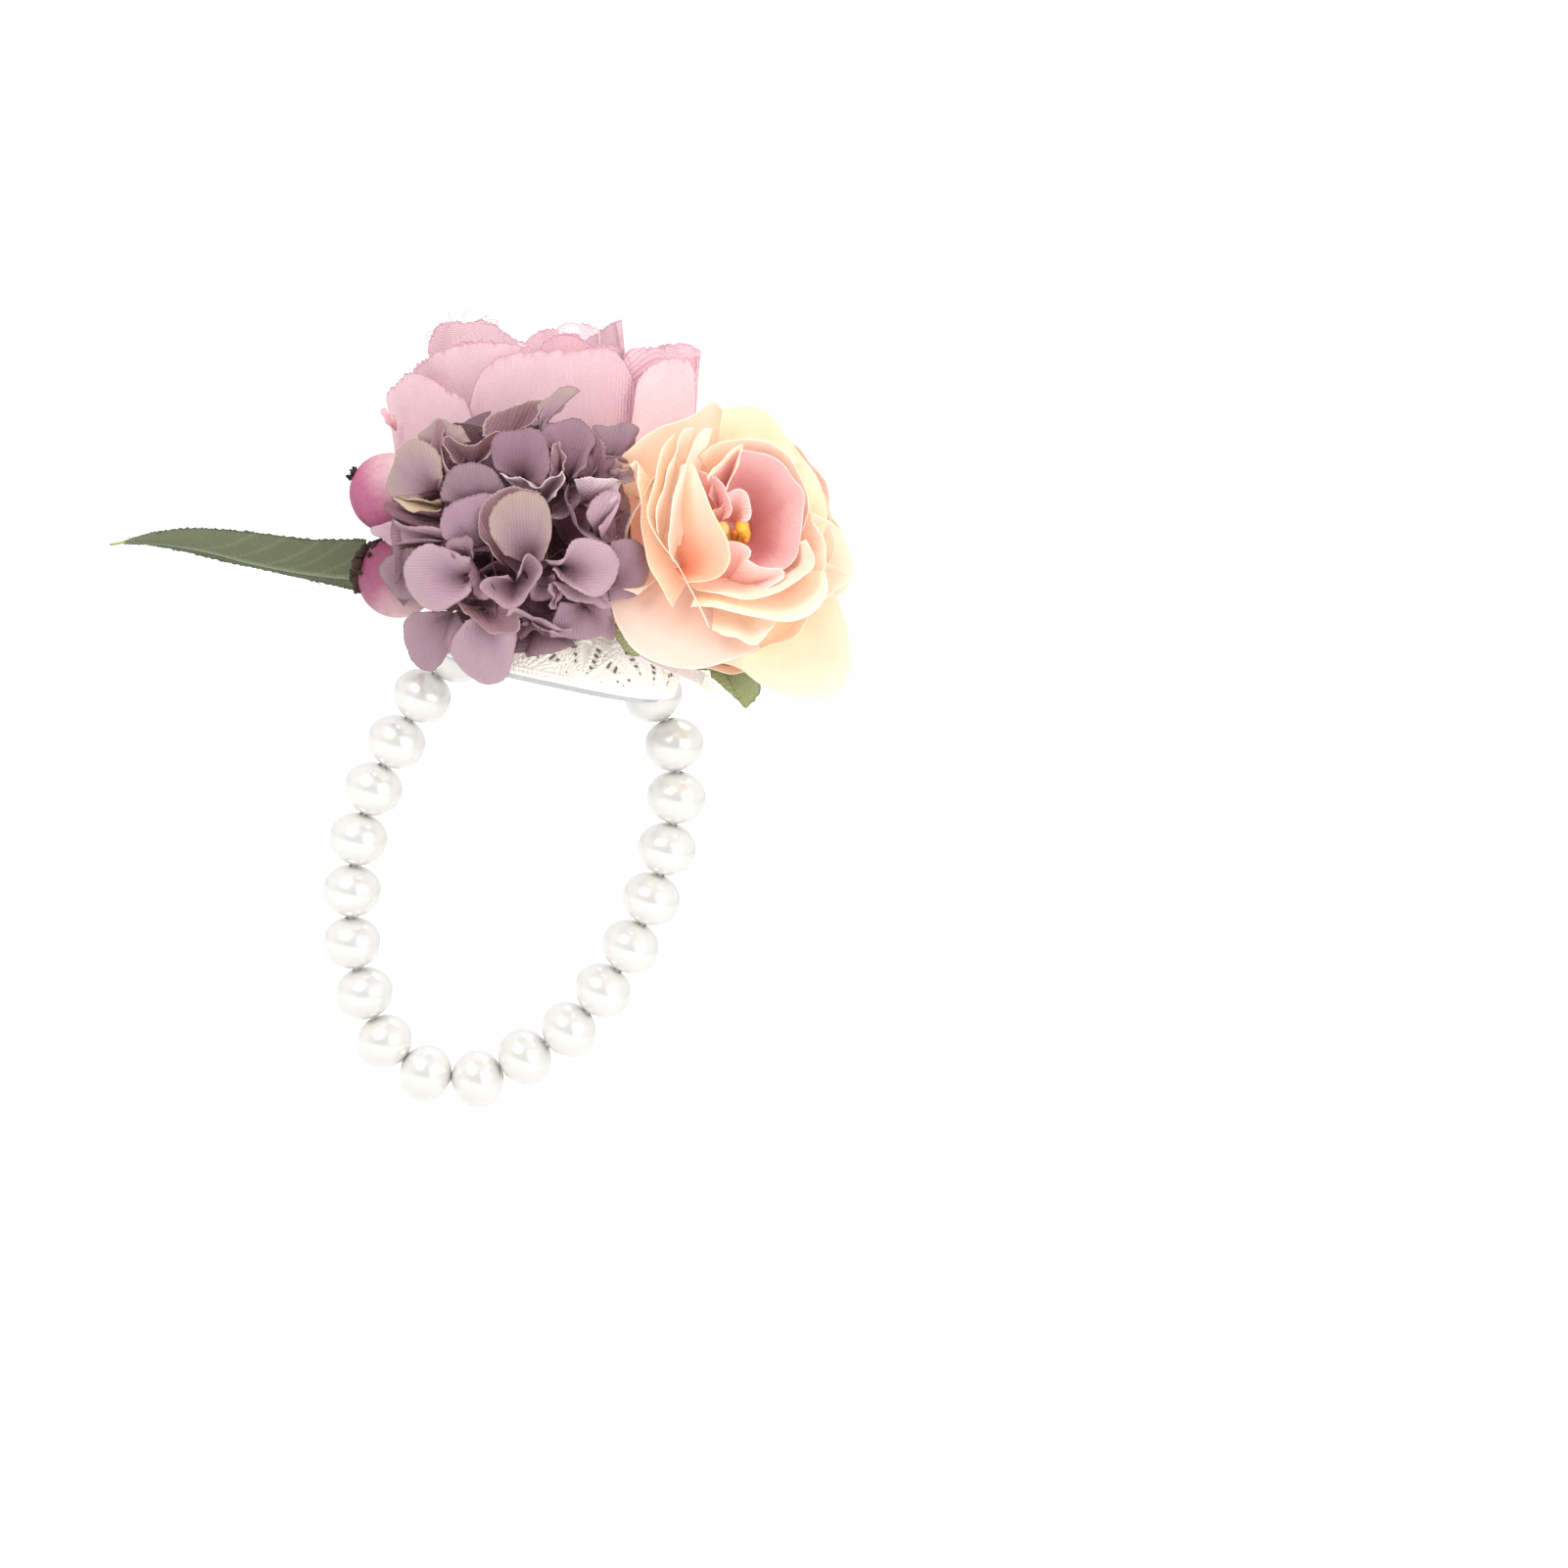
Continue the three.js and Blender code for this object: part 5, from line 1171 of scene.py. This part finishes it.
def build_ribbon(satin):
    part = Piece()
    line = smooth_curve([Vector(p) * MM for p in RIBBON_LINE], 8)
    rows = RIBBON_ROWS
    grid = np.zeros((len(line), rows, 3))
    for i, place in enumerate(line):
        for j in range(rows):
            v = 2 * j / (rows - 1) - 1
            y = place[1] + RIBBON_HALF * v * MM
            lift = place[2] + RIBBON_CUP * v * v * MM + RIBBON_TILT * v * MM
            on_lace = dome_height(place[0] / MM, y / MM, 0.5) * MM
            grid[i, j] = (place[0], y, max(lift, on_lace) if place[0] < ON_LACE_TO * MM else lift)
    white, lilac = shown("ribbon"), shown("ribbon shade")
    tint = np.linspace(0, 1, len(line))[:, None, None]
    paint = np.broadcast_to(white * tint + lilac * (1 - tint), grid.shape).copy()
    part.add_sheet(grid, paint, (grid - grid[0, 0]) / MM, RIBBON_THICKNESS * MM)
    for _ in range(RIBBON_THREADS):
        start = Vector(grid[-1, chance.randrange(rows)])
        way = Vector((1, chance.uniform(-0.5, 0.3), chance.uniform(-0.5, 0.1))).normalized()
        add_thread(part, start, way, RIBBON_THREAD_STRAY, RIBBON_THREAD_STEPS,
                   RIBBON_THREAD_RADIUS, "ribbon thread")
    on_head(part.build("ribbon_satin", satin, "satin"), "satin_ribbon")


# Cord and pearls. The route is part.mjs's, from the knot down round the wrist and back.
CORD_HEIGHT = 0.0015
LOOP_HALF_WIDTH = 0.0227
DEPTH_PER_HALF_WIDTH = 2.76
KNOT_REACH = 0.0018
EXIT_X = 0.38
EXIT_RISE = 1.5
CORD_DIAMETER = 0.0008
ROUTE_SHARES = [
    (-0.625, 0.036), (-0.76, 0.125), (-0.87, 0.245), (-0.965, 0.37), (-1.0, 0.5), (-0.975, 0.625),
    (-0.91, 0.745), (-0.765, 0.855), (-0.575, 0.955), (-0.3, 1.0), (0.03, 0.985), (0.29, 0.91),
    (0.525, 0.825), (0.69, 0.71), (0.8, 0.595), (0.865, 0.47), (0.89, 0.352), (0.875, 0.233),
    (0.785, 0.118), (0.615, 0.032),
]
PEARL_COUNT = 20
PEARL_RADIUS = 0.00415
PEARL_HALF_LENGTH = 0.00372
PEARL_HOLE = 0.0006
PEARL_LIP = ((1, 0.93), (1.15, 0.975))
PEARL_LIP_TURN = 0.06
PEARL_RINGS = 28
PEARL_SIDES = 44


def cord_route():
    loop = [
        Vector((across * LOOP_HALF_WIDTH, 0,
                CORD_HEIGHT - down * DEPTH_PER_HALF_WIDTH * LOOP_HALF_WIDTH))
        for across, down in ROUTE_SHARES
    ]

    def inner(side, end):
        leave = Vector((side * EXIT_X * LOOP_HALF_WIDTH, 0, CORD_HEIGHT))
        bend = (leave + end) / 2
        bend.z += (CORD_HEIGHT - bend.z) * EXIT_RISE
        return [Vector((side * KNOT_REACH, 0, CORD_HEIGHT)), leave, bend]

    return smooth_curve([*inner(-1, loop[0]), *loop, *reversed(inner(1, loop[-1]))], 16)


def build_pearl(look_of_it, name, middle, along):
    """A pearl: a slightly flattened ball with a small hole right through it."""
    start = math.asin(PEARL_HOLE / PEARL_RADIUS) + PEARL_LIP_TURN
    lip = [(PEARL_HOLE * wide, -PEARL_HALF_LENGTH * far) for wide, far in PEARL_LIP]
    angles = [start + (math.pi - 2 * start) * k / PEARL_RINGS for k in range(PEARL_RINGS + 1)]
    shell = [(PEARL_RADIUS * math.sin(a), -PEARL_HALF_LENGTH * math.cos(a)) for a in angles]
    profile = [*lip, *shell, *((r, -h) for r, h in reversed(lip))]
    turn = Vector((0, 0, 1)).rotation_difference(along)
    rows = len(profile)
    points, faces = [], []
    for i in range(PEARL_SIDES):
        angle, after = TURN * i / PEARL_SIDES, (i + 1) % PEARL_SIDES
        for radius, height in profile:
            local = Vector((radius * math.cos(angle), radius * math.sin(angle), height))
            points.append(middle + turn @ local)
        for j in range(rows):
            k = (j + 1) % rows
            faces.append((i * rows + j, after * rows + j, after * rows + k, i * rows + k))
    part = Piece()
    part.add(points, faces, [shown("pearl")] * len(points))
    return part.build(f"{name}_shell", look_of_it, "pearl")


def build_strand(elastic, pearl_look):
    route = cord_route()
    part = Piece()
    part.add_tube(route, CORD_DIAMETER / 2, shown("elastic"), sides=10)
    cord = part.build("elastic_thread", elastic, "elastic")
    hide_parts("elastic_cord")
    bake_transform(cord)
    for k in range(PEARL_COUNT):
        node = f"pearl_{k + 1:02d}"
        middle = sum(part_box(node), Vector()) / 2
        near = int(np.argmin(np.linalg.norm(route - np.array(middle), axis=1)))
        near = min(max(near, 1), len(route) - 2)
        along = Vector(route[near + 1] - route[near - 1]).normalized()
        pearl = build_pearl(pearl_look, node, middle, along)
        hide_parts(node)
        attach(pearl, "strand" if k in (0, PEARL_COUNT - 1) else node)
    length = float(lengths_along(route)[-1])
    tuple(route[0])
    [tuple(p) for p in route]


# Berries: where the pale side faces, the crown's radius in millimetres, how many flakes it has
# and their size as a share, and the shade of the deep colours.
BERRIES = {
    "berry_upper": ((0.55, -0.35, 0.75), 1.0, 12, 0.6, 0.8),
    "berry_lower": ((0.75, -0.3, -0.6), 4.0, 60, 1, 0.55),
}
BERRY_MID_AT = 0.55
FLAKE_TURN = 0.618
FLAKE_REACHES = (0.25, 0.95)
FLAKE_SIZES = (0.35, 0.75)
FLAKE_LIFTS = (0.0, 0.8)
FLAKE_WIDTHS = (0.5, 1.0)
FLAKE_LENGTH = 1.3


def add_crown(part, middle, radius, away, crown_radius, flakes, flake_size):
    """Dried flakes on a berry, round where its crown is."""
    for k in range(flakes):
        angle = TURN * k * FLAKE_TURN
        ring = away.orthogonal().normalized()
        ring.rotate(Matrix.Rotation(angle, 3, away))
        reach = crown_radius * chance.uniform(*FLAKE_REACHES)
        seat = middle + away * math.sqrt(max(radius**2 - (reach * MM) ** 2, 0)) + ring * reach * MM
        size = chance.uniform(*FLAKE_SIZES) * flake_size * MM
        centre = seat + away * chance.uniform(*FLAKE_LIFTS) * MM
        radii = (size, size * chance.uniform(*FLAKE_WIDTHS), size * FLAKE_LENGTH)
        part.add_ball(centre, radii, shown("crown"),
                      turn=Matrix.Rotation(angle * 3, 3, "X"), around=8, rings=6, bumps=0.5)


def build_berries(skin, crown_look):
    for node, (pale_side, crown_radius, flakes, flake_size, shade) in BERRIES.items():
        low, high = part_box(node)
        middle, radius = (low + high) / 2, (high - low).x / 2
        pale_way = Vector(pale_side).normalized()
        deep, mid = shown("berry deep") * shade, shown("berry mid") * shade
        pale = shown("berry pale")

        def colour(way):
            share = (way.dot(pale_way) + 1) / 2
            if share < BERRY_MID_AT:
                return deep + (mid - deep) * (share / BERRY_MID_AT) ** 1.5
            return mid + (pale - mid) * ((share - BERRY_MID_AT) / (1 - BERRY_MID_AT))

        part = Piece()
        part.add_ball(middle, (radius,) * 3, colour, around=56, rings=36, bumps=0.01)
        on_head(part.build(f"{node}_foam", skin, "berry"), node)
        crown_node = f"{node}_crown"
        away = (sum(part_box(crown_node), Vector()) / 2 - middle).normalized()
        crown = Piece()
        add_crown(crown, middle, radius, away, crown_radius, flakes, flake_size)
        on_head(crown.build(f"{crown_node}_flakes", crown_look, "crown"), crown_node)


# Leaf: its lines from the stem to the tip, with their depths in millimetres behind the origin.
LEAF_TOP = [(374, 551), (317, 551), (267, 545), (228, 541), (193, 540), (152, 545), (126, 553)]
LEAF_FOLD = [(376, 594), (306, 586), (252, 575), (210, 564), (170, 557), (144, 555), (126, 554)]
LEAF_BOTTOM = [(377, 605), (317, 592), (273, 582), (230, 573), (189, 563), (152, 556), (126, 555)]
LEAF_DEPTHS = [-1.5, -1.2, -0.8, -0.2, 0.4, 1.4, 2.2]
LEAF_BEHIND = (1.4, 0.0, 1.1)
LEAF_STALK = [(128, 553), (120, 555), (112, 556)]
LEAF_STALK_DEPTH = 2.4
LEAF_STALK_RADIUS = 0.18
LEAF_COLUMNS = 130
LEAF_THICKNESS = 0.2
LEAF_BOW = 0.45
LEAF_TEETH = 0.28
LEAF_VEINS = (6, 20, 33, 49, 62, 80, 97)
VEIN_SLANT = 10
VEIN_HALF_WIDTH = 0.3

# The leaf's halves above and below its fold: first and second line, rows, the bow's share, which
# row is the cut edge, the veins' strength, the shade and the edge's colour.
LEAF_HALVES = (
    (0, 1, 15, -1, 0, 0.45, 1, "leaf top edge"),
    (1, 2, 5, 0.3, -1, 0.2, 0.82, "leaf low edge"),
)


def leaf_half(part, lines, first, second, rows, bow, edge, vein_share, shade, edge_colour):
    v = np.arange(rows)[None, :, None] / (rows - 1)
    grid = lines[first][:, None] * (1 - v) + lines[second][:, None] * v
    grid[:, :, 1] += bow * LEAF_BOW * MM * np.sin(np.linspace(0, math.pi, rows))[None, :]
    beside = 1 if edge == 0 else -2
    for row in grid:
        row[edge] += unit(row[edge] - row[beside]) * LEAF_TEETH * chance.random() ** 2 * MM
    vein = np.zeros((LEAF_COLUMNS, rows))
    slant = VEIN_SLANT * (1 - v[0, :, 0]) ** 0.7
    for start in LEAF_VEINS:
        along = ((lines[0][:, 0] - lines[0][start, 0]) / MM)[:, None] - slant
        vein = np.maximum(vein, np.exp(-(along / VEIN_HALF_WIDTH) ** 2))
    mix = (vein * vein_share)[:, :, None]
    paint = (shown("leaf") * (1 - mix) + shown("leaf vein") * mix) * shade
    if edge == 0:
        fold = 0.6 * np.exp(-((np.arange(rows)[None, :] - rows + 1) / 0.9) ** 2)[:, :, None]
        paint = paint * (1 - fold) + shown("leaf fold") * fold
    paint[:, edge] = shown(edge_colour)
    cloth = np.stack([grid[:, :, 0] / MM, grid[:, :, 2] / MM, grid[:, :, 1] * 0], axis=2)
    part.add_sheet(grid, paint, cloth, LEAF_THICKNESS * MM)


def build_leaf(leaf_look):
    lines = []
    for pixels, behind in zip((LEAF_TOP, LEAF_FOLD, LEAF_BOTTOM), LEAF_BEHIND):
        points = [at_pixel(p, (-d + behind) * MM) for p, d in zip(pixels, LEAF_DEPTHS)]
        line = smooth_curve(points, 24)
        lines.append(places_along(line, np.linspace(0, lengths_along(line)[-1], LEAF_COLUMNS)))
    part = Piece()
    for half in LEAF_HALVES:
        leaf_half(part, lines, *half)
    tip = smooth_curve([at_pixel(p, -LEAF_STALK_DEPTH * MM) for p in LEAF_STALK], 4)
    part.add_tube(tip, LEAF_STALK_RADIUS * MM, shown("leaf tip"))
    for line, colour in ((lines[0], "leaf top thread"), (lines[2], "leaf low thread")):
        loose_threads(part, line, 30, 1.1, colour)
    on_head(part.build("leaf_cloth", leaf_look, "leaf_cloth"), "leaf_blade")


# Sepals under the rose: rim pixels and depth, root pixel and depth in millimetres.
SEPAL_LEFT = [(624, 622), (640, 618), (656, 650), (652, 668), (643, 668), (632, 656), (625, 640)]
SEPAL_RIGHT = [(712, 684), (740, 684), (773, 695), (776, 704), (760, 723), (748, 709), (726, 692)]
SEPALS = ((SEPAL_LEFT, 12, (660, 610), 9), (SEPAL_RIGHT, 9, (718, 640), 3))
SEPAL_DEGREES = (160, 88, 10)
SEPAL_LAYER = (17, 18, 3.3, -3.2)
SEPAL_HALF_DEGREES = 17


def build_sepals(cloth):
    part = Piece()
    for rim, depth, start, root in SEPALS:
        points = [at_pixel(p, -depth * MM) for p in rim]
        base = at_pixel(start, -root * MM)
        lofted_petal(part, base, points, "sepal", -look, bulge=0.3, columns=60, fray=0.25)
    for degrees in SEPAL_DEGREES:
        ROSE.petal(part, SEPAL_LAYER, math.radians(degrees), math.radians(SEPAL_HALF_DEGREES),
                   "sepal", columns=24, rows=8)
    on_head(part.build("rose_sepals_cloth", cloth, "leaf_cloth"), "rose_sepals")


# Stamens: thickness at the root and the tip in millimetres, tint, pixels from root to tip.
STAMEN_LINES = [
    (0.7, 1.0, "pale", [(748, 556), (744, 549), (740, 543), (737, 540)]),
    (0.7, 0.9, "yellow", [(747, 558), (754, 554), (760, 547), (758, 538)]),
    (0.3, 0.4, "orange", [(744, 557), (749, 550), (751, 543)]),
    (0.3, 0.35, "orange", [(752, 560), (757, 558), (762, 552)]),
]
STAMEN_TINTS = {"pale": (0.97, 0.84, 0.52), "yellow": (0.98, 0.8, 0.3), "orange": (0.9, 0.6, 0.28)}
STAMEN_ROOT_DEPTH = 11.5
STAMEN_TIP_DEPTH = 15.5
STAMEN_TIP_SWELL = 1.05


def build_stamens(look_of_it):
    part = Piece()
    for root, tip, tint, pixels in STAMEN_LINES:
        depths = np.linspace(STAMEN_ROOT_DEPTH, STAMEN_TIP_DEPTH, len(pixels))
        line = smooth_curve([at_pixel(p, (ROSE_MIDDLE_Y - d) * MM) for p, d in zip(pixels, depths)], 6)
        colour = linear(STAMEN_TINTS[tint])
        part.add_tube(line, np.linspace(root, tip, len(line)) * MM, colour, sides=10)
        part.add_ball(line[-1], (STAMEN_TIP_SWELL * tip * MM,) * 3, colour, bumps=0.15)
    on_head(part.build("rose_stamen_tips", look_of_it, "stamen"), "rose_stamens")


# Materials.

SHARP_DEGREES = 35


def new_material(name):
    material = bpy.data.materials.new(name)
    material.use_nodes = True
    return material, material.node_tree, material.node_tree.nodes["Principled BSDF"]


def feed(tree, node, inputs):
    """Sets a node's inputs to values, or links them to other nodes' outputs."""
    for key, value in inputs.items():
        if isinstance(value, bpy.types.NodeSocket):
            tree.links.new(value, node.inputs[key])
        else:
            node.inputs[key].default_value = value


def add_node(tree, kind, inputs=None, **settings):
    node = tree.nodes.new("ShaderNode" + kind)
    for name, value in settings.items():
        setattr(node, name, value)
    feed(tree, node, inputs or {})
    return node


def value_node(tree, operation, first, second=None):
    inputs = {0: first} if second is None else {0: first, 1: second}
    return add_node(tree, "Math", inputs, operation=operation).outputs[0]


def tinted(tree, colour, factor, low, high):
    """The colour times a factor from low to high."""
    ramp = add_node(tree, "MapRange", {"Value": factor, "To Min": low, "To Max": high})
    inputs = {0: colour, "Scale": ramp.outputs[0]}
    return add_node(tree, "VectorMath", inputs, operation="SCALE").outputs[0]


def attribute(tree, name, output):
    return add_node(tree, "Attribute", attribute_name=name).outputs[output]


def noise_node(tree, place, scale, detail=3.0):
    inputs = {"Vector": place, "Scale": scale, "Detail": detail}
    return add_node(tree, "TexNoise", inputs).outputs["Fac"]


def add_bump(tree, shader, height, distance, strength=1.0):
    inputs = {"Height": height, "Distance": distance, "Strength": strength}
    feed(tree, shader, {"Normal": add_node(tree, "Bump", inputs).outputs[0]})


def cloth_material(name, rib=0.42, ribs_deep=0.05, sheen=0.12, soft=0.12, diagonal=0.0,
                   through=0.0, bump=0.6, roughness=0.82):
    """Woven cloth: painted colours, fine ribs across the cloth and a faint weft, some softness.
    through is a painted glow: the cloth gives off its own colour, taken twice, in place of light that
    seeps through the thin cloth, and so lifts its shade."""
    material, tree, shader = new_material(name)
    cloth = attribute(tree, "cloth", "Vector")
    x, y = add_node(tree, "SeparateXYZ", {0: cloth}).outputs[:2]
    slanted = value_node(tree, "ADD", x, value_node(tree, "MULTIPLY", y, diagonal))
    warp = value_node(tree, "SINE", value_node(tree, "MULTIPLY", slanted, TURN / rib))
    weft = value_node(tree, "SINE", value_node(tree, "MULTIPLY", y, TURN / (rib * 0.8)))
    weave = value_node(tree, "ADD", warp, value_node(tree, "MULTIPLY", weft, 0.5))
    patches = noise_node(tree, cloth, 0.35)
    half_weave = value_node(tree, "MULTIPLY", weave, 0.5)
    ribbed = tinted(tree, attribute(tree, "paint", "Color"), half_weave, 1, 1 + ribs_deep)
    mottled = tinted(tree, ribbed, patches, 0.93, 1.05)
    # Painted glow: the colour times itself, given off as emission with strength through.
    twice = add_node(tree, "VectorMath", {0: mottled, 1: mottled}, operation="MULTIPLY")
    add_bump(tree, shader, value_node(tree, "ADD", weave, patches), 0.00005, bump)
    feed(tree, shader, {
        "Base Color": mottled,
        "Emission Color": twice.outputs[0],
        "Emission Strength": through,
        "Roughness": roughness,
        "Specular IOR Level": 0.25,
        "Sheen Weight": sheen,
        "Sheen Roughness": 0.4,
        "Subsurface Weight": soft,
        "Subsurface Radius": (1.0, 0.6, 0.5),
        "Subsurface Scale": 0.002,
    })
    return material


def mottled_material(name, roughness, colour=None, low=0.94, high=1.06, grain=400, detail=3.0,
                     bump=0.0, glow=0.0, **more):
    """A mottle from low to high over one colour or, without it, over the piece's own paint.
    glow is a painted glow, the base colour given off as emission to lift white cotton out of shade, and
    more is for the shader's other inputs."""
    material, tree, shader = new_material(name)
    place = add_node(tree, "TexCoord").outputs["Object"]
    fine = noise_node(tree, place, grain, detail)
    base = linear(COLOURS[colour]) if colour else attribute(tree, "paint", "Color")
    feed(tree, shader, {"Base Color": tinted(tree, base, fine, low, high), "Roughness": roughness})
    feed(tree, shader, {key.replace("_", " "): value for key, value in more.items()})
    # Painted glow: the base colour given off as emission.
    if glow:
        feed(tree, shader, {"Emission Color": base, "Emission Strength": glow})
    if bump:
        add_bump(tree, shader, fine, bump)
    return material


def carry(material, *nodes):
    """Shows CAD nodes as they are, with this material and smooth rounds."""
    for node in nodes:
        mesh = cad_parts[node].data
        mesh.materials.clear()
        mesh.materials.append(material)
        mesh.shade_smooth()
        mesh.set_sharp_from_angle(angle=math.radians(SHARP_DEGREES))


# Stage: a white floor, a white room and soft lamps. A lamp's place, size and power.
FLOOR_HEIGHT = -0.09
FLOOR_WHITE = (0.9, 0.9, 0.9, 1)
FLOOR_GLOW = 0.4
WHITE = (1, 1, 1, 1)
AMBIENT = 0.68
FRONT_WALL = {"From Min": -0.95, "From Max": -0.1, "To Min": 0.3, "To Max": 1.0}
LAMPS = {
    "key": ((-0.45, -0.6, 0.65), 0.5, 5.0),
    "fill": ((0.6, -0.55, 0.35), 0.6, 3.0),
    "top": ((0.05, 0.25, 0.8), 0.6, 2.4),
}


def add_lamp(name, place, size, power):
    data = bpy.data.lights.new(name, "AREA")
    data.size, data.energy = size, power
    lamp = bpy.data.objects.new(name, data)
    lamp.location = place
    lamp.rotation_euler = (Vector((0, 0, 0)) - Vector(place)).to_track_quat("-Z", "Y").to_euler()
    bpy.context.scene.collection.objects.link(lamp)


def add_stage():
    bpy.ops.mesh.primitive_plane_add(size=30, location=(0, 0, FLOOR_HEIGHT))
    floor = bpy.context.object
    floor.name = "floor"
    material, tree, shader = new_material("white floor")
    feed(tree, shader, {"Base Color": FLOOR_WHITE, "Roughness": 0.9})
    camera_ray = add_node(tree, "LightPath").outputs["Is Camera Ray"]
    glow = value_node(tree, "MULTIPLY", camera_ray, FLOOR_GLOW)
    emission = add_node(tree, "Emission", {"Color": WHITE, "Strength": glow})
    both = add_node(tree, "AddShader", {0: shader.outputs[0], 1: emission.outputs[0]})
    feed(tree, tree.nodes["Material Output"], {"Surface": both.outputs[0]})
    floor.data.materials.append(material)
    for name, lamp in LAMPS.items():
        add_lamp(name, *lamp)
    add_world()


def add_world():
    """White for the camera, even light for surfaces, and a dimmer front wall for reflections."""
    world = bpy.data.worlds.new("white room")
    bpy.context.scene.world = world
    world.use_nodes = True
    tree = world.node_tree
    path = add_node(tree, "LightPath").outputs
    place = add_node(tree, "TexCoord").outputs["Generated"]
    depth = add_node(tree, "SeparateXYZ", {0: place}).outputs[1]
    wall = add_node(tree, "MapRange", {"Value": depth, **FRONT_WALL}).outputs[0]
    sharp = value_node(tree, "MAXIMUM", path["Is Glossy Ray"], path["Is Transmission Ray"])
    seen = value_node(tree, "MAXIMUM", path["Is Camera Ray"], sharp)
    ambient = value_node(tree, "MULTIPLY", value_node(tree, "SUBTRACT", 1.0, seen), AMBIENT)
    reflected = value_node(tree, "MULTIPLY", sharp, wall)
    total = value_node(tree, "ADD", path["Is Camera Ray"], reflected)
    feed(tree, tree.nodes["Background"],
         {"Color": WHITE, "Strength": value_node(tree, "ADD", total, ambient)})


def build_all():
    metal = mottled_material("silver plate", 0.28, "plate", 0.96, 1.04, Metallic=1.0)
    foam = mottled_material("foam", 0.95, "foam", bump=0.0001)
    # through is a painted glow that lifts the satin out of the flowers' shade.
    satin = cloth_material("satin", rib=0.25, ribs_deep=0.02, sheen=0.3, through=0.25,
                           roughness=0.38)
    # glow is a painted glow that lifts the lace out of the flowers' shade.
    lace_thread = mottled_material("crochet cotton", 0.9, high=1.04, grain=900, detail=5.0,
                                   bump=0.00006, glow=0.2)
    lace_ground = mottled_material("lace ground", 0.95, low=0.84, grain=1500, detail=5.0,
                                   bump=0.00016, glow=0.2)
    elastic = mottled_material("elastic", 0.4, "elastic")
    glue = mottled_material("hot glue", 0.3, "glue", grain=120)
    taped = {"low": 0.85, "high": 1.15, "grain": 600, "bump": 0.0001}
    stem = mottled_material("floral tape", 0.7, "tape", **taped)
    brown_tape = mottled_material("brown floral tape", 0.8, "brown tape", **taped)
    pearl = mottled_material("imitation pearl", 0.24, low=0.97, high=1.02, grain=260,
                             Metallic=0.35, Coat_Weight=0.8, Coat_Roughness=0.05)
    # through is a painted glow that lifts the petal cloth's shade.
    pink = cloth_material("pink petal cloth", rib=0.4, through=0.03)
    peach = cloth_material("peach petal cloth", rib=0.36, ribs_deep=0.02, through=0.12, bump=0.3)
    heart = cloth_material("heart petal cloth", ribs_deep=0.12, diagonal=0.6, through=0.08)
    mauve = cloth_material("mauve petal cloth", ribs_deep=0.14, through=0.03)
    leaf = cloth_material("leaf cloth", rib=0.5, ribs_deep=0.25, diagonal=0.9, soft=0.05)
    berry = mottled_material("berry foam", 0.5, low=0.72, high=1.18, grain=1400, detail=5.0,
                             bump=0.00004)
    crown = mottled_material("dried crown", 0.95, low=0.5, high=1.5, grain=1200, detail=5.0,
                             bump=0.0002)
    stamen = mottled_material("stamen", 0.6, low=0.85, high=1.1, grain=900, detail=5.0,
                              bump=0.00004)
    build_strand(elastic, pearl)
    build_pad(foam)
    build_lace(lace_thread, lace_ground)
    build_ribbon(satin)
    build_pink_flower(pink)
    build_rose(peach, heart)
    build_sepals(leaf)
    build_stamens(stamen)
    build_hydrangea(mauve)
    build_berries(berry, crown)
    build_leaf(leaf)
    carry(metal, "clip_plate")
    carry(elastic, "cord_knot")
    carry(glue, "glue_mound")
    carry(brown_tape, "hydrangea_stem")
    carry(stem, "pink_stem", "rose_stem", "berry_wire", "leaf_wire")


add_camera()
build_all()
add_stage()
